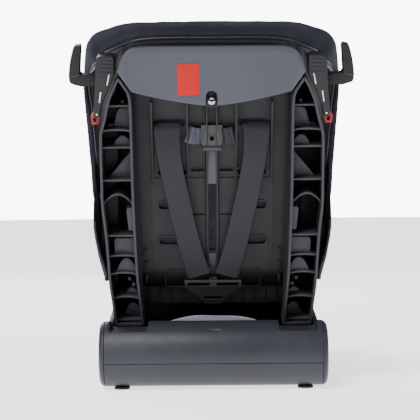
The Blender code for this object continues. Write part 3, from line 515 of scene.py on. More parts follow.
def woven_fabric(name, colour, pitch, depth, sheen):
    """Woven cloth: crossing yarns a pitch apart, flecks of lighter yarn and soft creases."""
    n = Nodes(name)
    place = n.coords()
    waves = []
    for direction in ("X", "Y", "Z"):
        wave = n.add("ShaderNodeTexWave", wave_type="BANDS", bands_direction=direction)
        wave.inputs["Scale"].default_value = 1.0 / pitch / 3.14
        wave.inputs["Distortion"].default_value = 0.6
        wave.inputs["Detail"].default_value = 1.0
        n.link(place, wave.inputs["Vector"])
        waves.append(wave.outputs["Fac"])
    yarn = n.math("MULTIPLY", n.math("ADD", waves[0], waves[1]), waves[2])
    soft = n.noise(24.0, 5.0, 0.6)
    flecks = n.noise(420.0, 3.0, 0.7)
    base = n.ramp(soft, ((0.30, scaled(colour, 0.78)), (0.70, scaled(colour, 1.22))))
    light = n.rescale(flecks, 0.55, 0.78, 0.0, 0.5)
    base = n.mix(light, base, scaled(colour, 2.6))
    dark = n.rescale(yarn, 0.0, 0.9, 0.35, 0.0)
    base = n.mix(dark, base, scaled(colour, 0.45))
    normal = n.bump(yarn, 0.5, depth)
    normal = n.bump(soft, 0.35, 0.0012, normal)
    return n.set(Base_Color=base, Roughness=0.92, Normal=normal, Sheen_Weight=sheen, Sheen_Roughness=0.45,
                 Sheen_Tint=scaled(colour, 7.0), Specular_IOR_Level=0.25)


def webbing_material(name, colour):
    """Woven polyester belt: a twill of fine ribs along its length."""
    n = Nodes(name)
    uv = n.coords("UV")
    twill = n.add("ShaderNodeTexWave", wave_type="BANDS", bands_direction="DIAGONAL", wave_profile="TRI")
    twill.inputs["Scale"].default_value = 260.0
    twill.inputs["Distortion"].default_value = 0.3
    n.link(uv, twill.inputs["Vector"])
    ribs = n.add("ShaderNodeTexWave", wave_type="BANDS", bands_direction="X", wave_profile="SIN")
    ribs.inputs["Scale"].default_value = 120.0
    n.link(uv, ribs.inputs["Vector"])
    pattern = n.math("MULTIPLY", twill.outputs["Fac"], ribs.outputs["Fac"])
    soft = n.noise(30.0, 4.0, 0.6)
    base = n.ramp(pattern, ((0.10, scaled(colour, 0.80)), (0.85, scaled(colour, 1.25))))
    base = n.mix(n.rescale(soft, 0.50, 0.80, 0.0, 0.4), base, scaled(colour, 1.6))
    normal = n.bump(pattern, 0.35, 0.0002)
    return n.set(Base_Color=base, Roughness=0.52, Normal=normal, Sheen_Weight=0.12, Sheen_Roughness=0.35,
                 Sheen_Tint=scaled(colour, 9.0), Specular_IOR_Level=0.30)


def steel_material(name):
    n = Nodes(name)
    brushed = n.noise(160.0, 4.0, 0.6, stretch=(1.0, 1.0, 14.0))
    spots = n.noise(60.0, 4.0, 0.6)
    base = n.ramp(spots, ((0.30, (0.42, 0.42, 0.43)), (0.70, (0.66, 0.66, 0.68))))
    roughness = n.rescale(brushed, 0.3, 0.7, 0.22, 0.42)
    return n.set(Base_Color=base, Roughness=roughness, Metallic=1.0, Normal=n.bump(brushed, 0.25, 0.00008))


def rubber_material(name):
    n = Nodes(name)
    grain = n.noise(500.0, 3.0, 0.6)
    base = n.ramp(grain, ((0.3, (0.012, 0.012, 0.012)), (0.7, (0.030, 0.030, 0.030))))
    return n.set(Base_Color=base, Roughness=0.88, Normal=n.bump(grain, 0.6, 0.0003))


def paper_material(name, colour, rough):
    n = Nodes(name)
    fibres = n.noise(220.0, 5.0, 0.6)
    broad = n.noise(18.0, 3.0, 0.5)
    base = n.ramp(broad, ((0.3, scaled(colour, 0.90)), (0.7, scaled(colour, 1.04))))
    normal = n.bump(fibres, 0.2, 0.0002)
    return n.set(Base_Color=base, Roughness=rough, Normal=n.bump(broad, 0.2, 0.0006, normal))


MATERIALS = {
    "black_plastic": moulded_plastic("black_plastic", (0.0110, 0.0111, 0.0138), 0.46),
    # A darker copy of the black plastic: painted shade on the cross rib deep behind the panel and in the
    # screw's well; the belt hooks are of it too.
    "shaded_dark_plastic": moulded_plastic("shaded_dark_plastic", (0.0060, 0.0060, 0.0076), 0.50, wear_and_highlight=1.3),
    "slate_plastic": moulded_plastic("slate_plastic", (0.0260, 0.0275, 0.0350), 0.44, mottle=0.10, wear_and_highlight=1.25),
    "grey_plastic": moulded_plastic("grey_plastic", (0.0500, 0.0530, 0.0680), 0.42, mottle=0.12, wear_and_highlight=1.25),
    "dark_clamp": moulded_plastic("dark_clamp", (0.0100, 0.0100, 0.0125), 0.38, mottle=0.15, wear_and_highlight=1.4),
    # A lighter copy of the black shell plastic, with more edge lightening, for the column rails: painted
    # highlight where they catch the light.
    "lit_rail_plastic": moulded_plastic("lit_rail_plastic", (0.0300, 0.0300, 0.0380), 0.36, mottle=0.12, wear_and_highlight=1.5),
    # A lighter grey copy of the shell plastic for the columns' shelves, floors and bosses: painted light on
    # their lit tops.
    "lit_cell_plastic": moulded_plastic("lit_cell_plastic", (0.0400, 0.0395, 0.0480), 0.46, mottle=0.14, wear_and_highlight=1.3),
    # A slightly lighter copy of the shell plastic for the rear ribs, ledges and slot lips: painted light
    # where they catch the light.
    "lit_rib_plastic": moulded_plastic("lit_rib_plastic", (0.0140, 0.0141, 0.0172), 0.42, mottle=0.15, wear_and_highlight=1.4),
    # A lighter grey copy of the shell plastic for the centre web and the top ledge: painted light on these
    # lit surfaces.
    "lit_slate_rib": moulded_plastic("lit_slate_rib", (0.0440, 0.0440, 0.0520), 0.42, mottle=0.12, wear_and_highlight=1.3),
    # A lighter, glossier copy of the shell plastic for the rear bead: a painted highlight along the flange
    # edge.
    "highlight_bead_plastic": moulded_plastic("highlight_bead_plastic", (0.0320, 0.0330, 0.0400), 0.30, mottle=0.10, wear_and_highlight=1.4),
    "anchor_grey": moulded_plastic("anchor_grey", (0.0420, 0.0420, 0.0440), 0.40, mottle=0.12, wear_and_highlight=1.3),
    "red_plastic": moulded_plastic("red_plastic", (0.3000, 0.0160, 0.0220), 0.36, mottle=0.10, wear_and_highlight=1.05),
    "cover_fabric": woven_fabric("cover_fabric", (0.0230, 0.0240, 0.0350), 0.0016, 0.0005, 0.10),
    "flap_fabric": woven_fabric("flap_fabric", (0.0080, 0.0083, 0.0118), 0.0016, 0.0005, 0.08),
    "pad_fabric": woven_fabric("pad_fabric", (0.0400, 0.0415, 0.0500), 0.0022, 0.0008, 0.12),
    "piping_fabric": woven_fabric("piping_fabric", (0.0550, 0.0570, 0.0680), 0.0010, 0.0003, 0.12),
    "webbing": webbing_material("webbing", (0.0120, 0.0121, 0.0172)),
    # A lighter copy of the webbing for the left anchor band: painted sheen.
    "painted_sheen_webbing": webbing_material("painted_sheen_webbing", (0.0560, 0.0580, 0.0800)),
    "steel": steel_material("steel"),
    "black_steel": moulded_plastic("black_steel", (0.0100, 0.0100, 0.0115), 0.34, grain=0.00003, mottle=0.2),
    "rubber": rubber_material("rubber"),
    "red_label": paper_material("red_label", (0.5000, 0.0030, 0.0030), 0.90),
    "red_print": paper_material("red_print", (0.3400, 0.0060, 0.0060), 0.70),
    "paper": paper_material("paper", (0.5000, 0.5200, 0.6200), 0.60),
}


# ---------------------------------------------------------------- camera, light and floor

CAMERA_AT = Vector((0.004, 2.860, 0.330))
CAMERA_AIM = Vector((0.004, 0.200, 0.2915))
CAMERA_ROLL = math.radians(0.45)
FRAME_WIDTH = 0.675               # width of the picture, 2.6 m away


def build_stage():
    camera = bpy.data.cameras.new("camera")
    camera.sensor_width = 36.0
    camera.lens = camera.sensor_width * 2.6 / FRAME_WIDTH
    eye = bpy.data.objects.new("camera", camera)
    eye.location = CAMERA_AT
    turn = (CAMERA_AIM - CAMERA_AT).to_track_quat("-Z", "Y").to_matrix()
    eye.rotation_euler = (turn @ Matrix.Rotation(-CAMERA_ROLL, 3, "Z")).to_euler()
    bpy.context.scene.collection.objects.link(eye)
    bpy.context.scene.camera = eye

    floor = Nodes("floor")
    tone = floor.noise(3.0, 3.0, 0.5)
    pale = floor.ramp(tone, ((0.3, (0.93, 0.93, 0.94)), (0.7, (0.95, 0.95, 0.96))))
    floor.set(Base_Color=pale, Roughness=0.85, Emission_Color=(1.0, 1.0, 1.0), Emission_Strength=1.60)
    bm = bmesh.new()
    bmesh.ops.create_circle(bm, cap_ends=True, segments=64, radius=14.0)
    ground = temporary(bm, "floor")
    ground.data.materials.append(floor.material)

    world = bpy.data.worlds.new("studio")
    world.use_nodes = True
    tree = world.node_tree
    dim = tree.nodes["Background"]
    dim.inputs["Color"].default_value = (0.94, 0.96, 1.0, 1.0)
    dim.inputs["Strength"].default_value = 0.22
    bright = tree.nodes.new("ShaderNodeBackground")
    bright.inputs["Color"].default_value = (1.0, 1.0, 1.0, 1.0)
    bright.inputs["Strength"].default_value = 9.0
    rays = tree.nodes.new("ShaderNodeLightPath")
    blend = tree.nodes.new("ShaderNodeMixShader")
    tree.links.new(rays.outputs["Is Camera Ray"], blend.inputs["Fac"])
    tree.links.new(dim.outputs["Background"], blend.inputs[1])
    tree.links.new(bright.outputs["Background"], blend.inputs[2])
    tree.links.new(blend.outputs["Shader"], tree.nodes["World Output"].inputs["Surface"])
    bpy.context.scene.world = world

    sun = bpy.data.lights.new("sun", "SUN")
    sun.energy = 2.7
    sun.angle = math.radians(22.0)
    lamp = bpy.data.objects.new("sun", sun)
    lamp.rotation_euler = Vector((-0.38, -0.52, -1.0)).to_track_quat("-Z", "Y").to_euler()
    bpy.context.scene.collection.objects.link(lamp)
    for name, place, aim, size, power in (
            ("key", (1.9, 2.5, 1.6), (0.0, 0.2, 0.30), (1.4, 1.4), 34.0),
            ("fill", (-2.2, 2.0, 1.2), (0.0, 0.1, 0.3), (1.6, 1.6), 9.0),
            ("front", (0.8, -2.6, 1.8), (0.0, 0.0, 0.3), (1.8, 1.4), 45.0)):
        light = bpy.data.lights.new(name, "AREA")
        light.shape = "RECTANGLE"
        light.size, light.size_y = size
        light.energy = power
        lamp = bpy.data.objects.new(name, light)
        lamp.location = place
        lamp.rotation_euler = (Vector(aim) - Vector(place)).to_track_quat("-Z", "Y").to_euler()
        bpy.context.scene.collection.objects.link(lamp)


# ---------------------------------------------------------------- more mesh helpers

def prism(bm, near, far):
    """A closed body between two outlines of the same number of points."""
    near = [bm.verts.new(point) for point in near]
    far = [bm.verts.new(point) for point in far]
    bm.faces.new(near)
    bm.faces.new(far[::-1])
    for index in range(len(near)):
        nearby = (index + 1) % len(near)
        bm.faces.new((near[index], far[index], far[nearby], near[nearby]))


def slab(bm, outline, depth_from, depth_to, front=None):
    """An outline in x and z made solid along y; front gives each point's own near side."""
    prism(bm, [(x, depth_from if front is None else front(x), z) for x, z in outline],
          [(x, depth_to, z) for x, z in outline])


def side_slab(bm, outline, x_from, x_to):
    """An outline in y and z made solid along x."""
    prism(bm, [(x_from, y, z) for y, z in outline], [(x_to, y, z) for y, z in outline])


def upright_slab(bm, outline, low, high):
    """An outline in x and y made solid along z. A cut's shading depends on this order of its faces."""
    under = [bm.verts.new((x, y, low)) for x, y in outline]
    over = [bm.verts.new((x, y, high)) for x, y in outline]
    bm.faces.new(under[::-1])
    bm.faces.new(over)
    for index in range(len(outline)):
        nearby = (index + 1) % len(outline)
        bm.faces.new((under[index], under[nearby], over[nearby], over[index]))


def ring_slab(bm, outer, inner, depth_to, front):
    """A frame between two outlines of the same number of points."""
    loops = []
    for outline in (outer, inner):
        loops.append([bm.verts.new((x, front(x), z)) for x, z in outline])
        loops.append([bm.verts.new((x, depth_to, z)) for x, z in outline])
    outer_near, outer_far, inner_near, inner_far = loops
    for first, second in ((outer_near, outer_far), (outer_far, inner_far), (inner_far, inner_near),
                          (inner_near, outer_near)):
        for index in range(len(outer)):
            nearby = (index + 1) % len(outer)
            bm.faces.new((first[index], first[nearby], second[nearby], second[index]))


def offset_loop(loop, distance):
    """A closed outline moved inwards by a distance."""
    points = [Vector(point) for point in loop]
    area = sum(points[i - 1].x * points[i].y - points[i].x * points[i - 1].y for i in range(len(points)))
    turn = 1.0 if area > 0 else -1.0
    moved = []
    for index, point in enumerate(points):
        back = (point - points[index - 1]).normalized()
        ahead = (points[(index + 1) % len(points)] - point).normalized()
        first = Vector((-back.y, back.x)) * turn
        second = Vector((-ahead.y, ahead.x)) * turn
        both = first + second
        moved.append(tuple(point + both * (2 * distance / max(both.length_squared, 0.8))))
    return moved


def loft(rings, loop=False, uv_width=None):
    """A skin over rings of points, and the along and across lengths as its UV map when asked."""
    bm = bmesh.new()
    rows = [[bm.verts.new(point) for point in ring] for ring in rings]
    layer = bm.loops.layers.uv.new("lengths") if uv_width else None
    lengths = [0.0]
    for ring, following in zip(rings, rings[1:]):
        lengths.append(lengths[-1] + (Vector(following[0]) - Vector(ring[0])).length)
    count = len(rows) if loop else len(rows) - 1
    for index in range(count):
        row, following = rows[index], rows[(index + 1) % len(rows)]
        for place in range(len(row)):
            nearby = (place + 1) % len(row)
            face = bm.faces.new((row[place], row[nearby], following[nearby], following[place]))
            if layer:
                for corner, (along, across) in zip(face.loops, ((index, place), (index, nearby),
                                                                (index + 1, nearby), (index + 1, place))):
                    corner[layer].uv = (uv_width[across], lengths[min(along, len(lengths) - 1)])
    if not loop:
        bm.faces.new(rows[0][::-1])
        bm.faces.new(rows[-1])
    return bm


def frames_along(path, facing):
    """At each point of a path, its direction, the side it shows and the direction across."""
    frames = []
    for index, point in enumerate(path):
        ahead = (path[min(index + 1, len(path) - 1)] - path[max(index - 1, 0)]).normalized()
        faces = facing[index] if isinstance(facing, list) else facing
        across = ahead.cross(faces).normalized()
        frames.append((point, ahead, across.cross(ahead).normalized(), across))
    return frames


def tube(path, radius, sides, facing=None, loop=False):
    facing = Vector((0.03, 0.05, 1.0)) if facing is None else facing
    rings = []
    count = len(path)
    for index, point in enumerate(path):
        before = path[index - 1] if loop or index else path[0]
        after = path[(index + 1) % count] if loop or index < count - 1 else path[-1]
        ahead = (after - before).normalized()
        across = ahead.cross(facing).normalized()
        normal = across.cross(ahead).normalized()
        rings.append([point + across * (radius * math.cos(2 * math.pi * step / sides))
                      + normal * (radius * math.sin(2 * math.pi * step / sides))
                      for step in range(sides)])
    return loft(rings, loop=loop)


WEBBING_THICKNESS = 0.0018
HARNESS_WIDTH = 0.038


def webbing(name, points, facing, width, stands_for, frame_matrix=IDENTITY, cup=0.0, widths=None,
            sideways=None):
    """A woven belt along a path, with round edges, a slight cup across it and lengths as its UV map."""
    path = smooth_path([frame_matrix @ Vector(point) for point in points], 10)
    turned = frame_matrix.to_3x3() @ Vector(facing)
    half = WEBBING_THICKNESS / 2
    spots = [-1.0, -0.985, -0.93, -0.6, -0.2, 0.2, 0.6, 0.93, 0.985, 1.0]
    heights = [0.0, 0.75, 1.0, 1.0, 1.0, 1.0, 1.0, 1.0, 0.75, 0.0]
    section = list(zip(spots, heights)) + [(spot, -height) for spot, height in zip(spots, heights)][-2:0:-1]
    rings = []
    for index, (point, ahead, normal, across) in enumerate(frames_along(path, turned)):
        if sideways is not None:
            across = (sideways - ahead * sideways.dot(ahead)).normalized()
            normal = across.cross(ahead).normalized()
        here = width if widths is None else width * station_list(widths, index / (len(path) - 1))
        rings.append([point + across * (spot * here / 2)
                      + normal * (height * half + cup * (1.0 - spot * spot)) for spot, height in section])
    bm = loft(rings, uv_width=[spot * width / 2 for spot, _ in section])
    add_piece(name, bm, "webbing", "shell", stands_for, smooth=60.0)


def station_list(values, t):
    """A value read from an even list at t from 0 to 1."""
    place = t * (len(values) - 1)
    index = min(int(place), len(values) - 2)
    return values[index] + (values[index + 1] - values[index]) * (place - index)


def finish_node(name, material, width, segments=2):
    """A CAD piece whose shape is right: a better material and finely rounded edges."""
    obj = nodes[name]
    obj.data.materials.clear()
    obj.data.materials.append(MATERIALS[material])
    shade(obj, 35.0)
    weld = obj.modifiers.new("weld", "WELD")
    weld.merge_threshold = 0.00001
    if width:
        modifier = obj.modifiers.new("edges", "BEVEL")
        modifier.width = width
        modifier.segments = segments
        modifier.limit_method = "ANGLE"
        modifier.angle_limit = math.radians(30.0)
        modifier.harden_normals = True


# ---------------------------------------------------------------- the moulded shell

def rise_at(position):
    return (rim_point(position) - floor_point(position)).normalized()


def wall_direction(position, place):
    """The way in which the shell's wall is thick: the normal, and the section's own rise in the flange."""
    if abs(place) < 2.99:
        return inward(position, place)
    if abs(place) > 3.01:
        return rise_at(position)
    return inward(position, place) + rise_at(position)


def stadium(centre_x, centre_z, half_width, half_height):
    """A slot's outline with round ends."""
    reach = half_width - half_height
    outline = []
    for side, start in ((1, -90.0), (-1, 90.0)):
        outline += circle((centre_x + side * reach, centre_z), half_height, 7, start, 180.0)
    return outline


def panel_slots():
    """The outlines of the harness slots, on the panel."""
    return [stadium(side * STRAP_X, lean_z(height, 0.0), *SLOT_HALF)
            for height in SLOT_HEIGHTS for side in (-1, 1)]


def build_shell():
    positions = spread(0.0, LAST_STATION, 96)
    half = spread(0.0, 1.0, 6) + spread(1.0, 2.0, 8)[1:] + spread(2.0, 3.0, 10)[1:] + [3.5, 4.0]
    places = [-place for place in reversed(half[1:])] + half
    outer = [[bucket_point(position, place) for place in places] for position in positions]
    inner = [[bucket_point(position, place) + wall_direction(position, place) * SHELL_THICKNESS
              for place in places] for position in positions]
    shell = add_piece("shell_moulding", closed_grid(outer, inner), "black_plastic", "shell",
                      ["shell_bucket"])

    plateau = rounded([(-0.100, lean_z(0.193, 0.0)), (0.100, lean_z(0.193, 0.0)), (0.103, lean_z(0.345, 0.0)),
                       (-0.103, lean_z(0.345, 0.0))], [0.018, 0.018, 0.004, 0.004])
    bm = bmesh.new()
    slab(bm, plateau, -0.0012, 0.0026)
    boolean(shell, bm, "UNION", LEAN)

    centre_slot = rounded([(-0.0058, lean_z(0.222, 0.0)), (0.0058, lean_z(0.222, 0.0)),
                           (0.0058, lean_z(0.336, 0.0)), (-0.0058, lean_z(0.336, 0.0))], 0.003)
    cutters = bmesh.new()
    for outline in panel_slots() + [centre_slot]:
        slab(cutters, outline, -0.012, 0.010)
    boolean(shell, cutters, "DIFFERENCE", LEAN)

    openings = bmesh.new()
    for side in (-1, 1):
        lap = rounded([(0.014, 0.214), (0.082, 0.214), (0.082, 0.250), (0.014, 0.250)], 0.012)
        side_slab(openings, lap, side * 0.128, side * 0.192)
    crotch = rounded([(-0.024, -0.094), (0.024, -0.094), (0.024, -0.078), (-0.024, -0.078)], 0.006)
    upright_slab(openings, crotch, 0.150, 0.220)
    boolean(shell, openings)
    shade(shell, 32.0)
    build_panel_details()


def rib_profile(bm, x, half_thickness, top, foot, depth_top, depth_foot):
    """A rib standing on the panel, with its back edge drawn as a soft curve from its foot to its top."""
    z_top, z_foot = lean_z(top, depth_top), lean_z(foot, depth_foot)
    edge = []
    for step in range(9):
        t = step / 8
        edge.append((depth_foot + (depth_top - depth_foot) * t ** 1.4, z_foot + (z_top - z_foot) * t))
    outline = [(-0.0015, z_foot), *edge, (-0.0015, z_top)]
    side_slab(bm, outline, x - half_thickness, x + half_thickness)


def build_panel_details():
    """Ribs, the centre web, ledges and the raised lips of the slots on the back of the panel."""
    cross = bmesh.new()
    for side in (-1, 1):
        outline = [(0.018, 0.128), (0.138, 0.128), (0.138, 0.1700), (0.125, 0.1618), (0.112, 0.1600),
                   (0.018, 0.1600)]
        slab(cross, mirrored(rounded(outline, [0.004, 0.006, 0.0, 0.0, 0.0, 0.0]), side), 0.0550, 0.0580)
        for index in range(5):
            x = side * (0.030 + 0.020 * index)
            add_box(cross, (x - 0.0012, 0.0570, 0.132), (x + 0.0012, 0.0640, 0.1590))
    # The cross rib is darker: painted shade deep behind the panel.
    obj = add_piece("shell_cross_rib", cross, "shaded_dark_plastic", "shell")
    bevel(obj, 0.0006, 2)
    ribs = bmesh.new()
    for side in (-1, 1):
        rib_profile(ribs, side * 0.0995, 0.0016, 0.468, 0.334, 0.036, 0.003)
        rib_profile(ribs, side * 0.0405, 0.0015, 0.470, 0.330, 0.034, 0.003)
        rib_profile(ribs, side * 0.0085, 0.0014, 0.470, 0.190, 0.020, 0.006)
        rib_profile(ribs, side * 0.0118, 0.0008, 0.470, 0.200, 0.012, 0.004)
    # The ribs are slightly lighter: painted light where they catch the light.
    obj = add_piece("shell_rear_ribs", ribs, "lit_rib_plastic", "shell", matrix=LEAN)
    bevel(obj, 0.0006, 2)

    web = bmesh.new()
    for low, high, half, corner, reach in ((0.337, 0.392, 0.0072, 0.0008, 0.0105),
                                           (0.196, 0.219, 0.0068, 0.001, 0.0062),
                                           (0.163, 0.177, 0.0068, 0.001, 0.0062)):
        low, high = lean_z(low, 0.0), lean_z(high, 0.0)
        slab(web, rounded([(-half, low), (half, low), (half, high), (-half, high)], corner), -0.001, reach)
    # The centre web is lighter grey: painted light.
    obj = add_piece("shell_centre_web", web, "lit_slate_rib", "shell", matrix=LEAN)
    bevel(obj, 0.0007, 2)

    ledges = bmesh.new()
    for height, reach in ((0.3570, 0.0110), (0.2830, 0.0080)):
        for side in (-1, 1):
            z = lean_z(height, 0.0)
            low, high = sorted((side * 0.0135, side * 0.0350))
            add_box(ledges, (low, -0.001, z - 0.0011), (high, reach, z + 0.0011))
    for side in (-1, 1):
        for height in SLOT_HEIGHTS[:3]:
            outer = stadium(side * STRAP_X, lean_z(height, 0.0), 0.0268, 0.0090)
            inner = stadium(side * STRAP_X, lean_z(height, 0.0), *SLOT_HALF)
            ring_slab(ledges, outer, inner, 0.0048, lambda x: 0.0)
        pocket = rounded([(side * 0.044, 0.010), (side * 0.081, 0.010), (side * 0.081, 0.041),
                          (side * 0.044, 0.041)], 0.006)
        ring_slab(ledges, pocket, offset_loop(pocket, 0.0014), 0.0020, lambda x: -0.001)
        for index in range(3):
            z = lean_z(0.170 + 0.022 * index, 0.0)
            add_box(ledges, (side * 0.1125 - 0.0012, -0.004, z), (side * 0.1125 + 0.0012, 0.010, z + 0.014))
    # The ledges and lips are slightly lighter: painted light.
    obj = add_piece("shell_ledges", ledges, "lit_rib_plastic", "shell", matrix=LEAN)
    bevel(obj, 0.0005, 2)


# ---------------------------------------------------------------- the two rear columns

COLUMN_OUTER = ((0.1645, 0.0960), (0.1670, 0.1125), (0.1690, 0.1320), (0.1740, 0.1720), (0.1785, 0.2476),
                (0.1834, 0.2970), (0.1840, 0.3380), (0.1840, 0.4035), (0.1825, 0.4200), (0.1765, 0.4400),
                (0.1700, 0.4680), (0.1600, 0.4920), (0.1510, 0.5080))
COLUMN_INNER = ((0.1355, 0.4855), (0.1310, 0.4660), (0.1300, 0.4000), (0.1290, 0.3050), (0.1250, 0.1930),
                (0.1220, 0.1550), (0.1170, 0.1040), (0.1160, 0.0960))
RAIL_WALL = 0.0040
SHELF_DEPTH = 0.046
SHELF_THICKNESS = 0.0028


def column_front(x):
    """How far forward the column's walls reach, down to the rounded corner of the bucket."""
    across = min(max((abs(x) - 0.116) / 0.040, 0.0), 0.95)
    return -0.040 * (1.0 - math.sqrt(1.0 - across * across)) - 0.0005


def edge_at(edge, height):
    ordered = sorted(edge, key=lambda point: point[1])
    for (x0, z0), (x1, z1) in zip(ordered, ordered[1:]):
        if z0 <= height <= z1:
            return x0 + (x1 - x0) * (height - z0) / max(z1 - z0, 0.00001)
    return ordered[-1][0] if height > ordered[-1][1] else ordered[0][0]


def column_edges():
    return ([tuple(point) for point in smooth_path(COLUMN_OUTER, 5)],
            [tuple(point) for point in smooth_path(COLUMN_INNER, 5)])


def shelf_outline(outer, inner, height, arch):
    """A thin shelf right across the column, level or arched."""
    upper, lower = [], []
    for t in spread(0.0, 1.0, 14):
        z = height + arch * (1 - (2 * t - 1) ** 2)
        x_in, x_out = edge_at(inner, z) + 0.001, edge_at(outer, z) - 0.001
        x = x_in + (x_out - x_in) * t
        upper.append((x, z + SHELF_THICKNESS / 2))
        lower.append((x, z - SHELF_THICKNESS / 2))
    return upper + lower[::-1]


def terrace_outline(outer, inner, low, high, margin, shape):
    """A raised floor in a cell, beside the inner wall, with an arched, square or slanted top."""
    def x_in(z):
        return edge_at(inner, z) + 0.0015

    def x_out(z):
        return edge_at(outer, z) - margin

    if shape == "arch":
        points = [(x_in(low), low), (x_out(low), low)]
        for step in range(13):
            t = step / 12
            z = low + (high - low) * math.sin(math.pi * t) ** 0.7
            z = max(z, low + (high - low) * 0.12)
            points.append((x_out(low) + (x_in(low) - x_out(low)) * t, z))
        return points
    if shape == "slant":
        return [(x_in(low), low), (x_out(low), low), (x_in(high) + 0.006, high), (x_in(high), high)]
    return rounded([(x_in(low), low), (x_out(low), low), (x_out(high), high), (x_in(high), high)],
                   [0.0005, 0.001, 0.007, 0.001])


SHELVES = ((0.106, 0.0), (0.142, 0.004), (0.183, 0.004), (0.214, 0.002), (0.249, 0.0), (0.2985, 0.0195),
           (0.341, 0.0), (0.395, 0.0), (0.421, 0.003), (0.462, 0.0))
TERRACES = (
    (0.108, 0.134, 0.014, "arch", 0.020), (0.144, 0.160, 0.020, "arch", 0.024),
    (0.1845, 0.211, 0.0125, "arch", 0.038), (0.2155, 0.2450, 0.0135, "square", 0.036),
    (0.2580, 0.2960, 0.0400, "square", 0.042), (0.3425, 0.386, 0.0090, "slant", 0.024),
    (0.3965, 0.4150, 0.0215, "arch", 0.032), (0.4225, 0.4600, 0.0180, "square", 0.026),
    (0.4225, 0.4350, 0.0060, "square", 0.018),
)


def build_column(side, suffix):
    outer, inner = column_edges()
    frame_loop = [(side * x, lean_z(z, COLUMN_DEPTH)) for x, z in outer + inner]
    rails = bmesh.new()
    ring_slab(rails, frame_loop, offset_loop(frame_loop, RAIL_WALL), COLUMN_DEPTH, column_front)
    # The rails are lighter: painted highlight.
    obj = add_piece("column_rails_" + suffix, rails, "lit_rail_plastic", "shell",
                    ["rear_column_" + suffix], matrix=LEAN)
    bevel(obj, 0.0011, 3)

    cells = bmesh.new()
    for height, arch in SHELVES:
        outline = [(side * x, lean_z(z, SHELF_DEPTH)) for x, z in shelf_outline(outer, inner, height, arch)]
        slab(cells, outline, 0.0, SHELF_DEPTH, column_front)
    for low, high, margin, shape, depth in TERRACES:
        outline = terrace_outline(outer, inner, low, high, margin, shape)
        slab(cells, [(side * x, lean_z(z, depth)) for x, z in outline], 0.0, depth, column_front)
    bosses = ((0.1405, 0.1755, 0.030), (0.1335, 0.1660, 0.034), (0.1460, 0.4700, 0.030))
    for x, z, depth in bosses:
        add_cylinder(cells, (side * x, depth / 2, lean_z(z, depth)), 0.0030, depth, "Y", 20, 0.0024)
    # The shelves and floors are lighter grey: painted light on their lit tops.
    obj = add_piece("column_cells_" + suffix, cells, "lit_cell_plastic", "shell", matrix=LEAN)
    bevel(obj, 0.0008, 2)
    web = bmesh.new()
    inside = offset_loop(frame_loop, 0.0012)
    near = [web.verts.new((x, column_front(x) + 0.0006, z)) for x, z in inside]
    far = [web.verts.new((x, column_front(x) + 0.0030, z)) for x, z in inside]
    bmesh.ops.triangulate(web, faces=[web.faces.new(near), web.faces.new(far[::-1])])
    for index in range(len(inside)):
        nearby = (index + 1) % len(inside)
        web.faces.new((near[index], far[index], far[nearby], near[nearby]))
    add_piece("column_web_" + suffix, web, "black_plastic", "shell", matrix=LEAN,
              smooth=30.0)


# ---------------------------------------------------------------- the crossbar

BAR_NEAR, BAR_FAR = 0.040, 0.060


def bar_lower(t):
    return 0.1290 * t, 0.4600 + 0.0225 * abs(t) ** 1.45


def bar_upper(t):
    return 0.1525 * t, 0.5150 + 0.0385 * (1 - abs(t) ** 16)


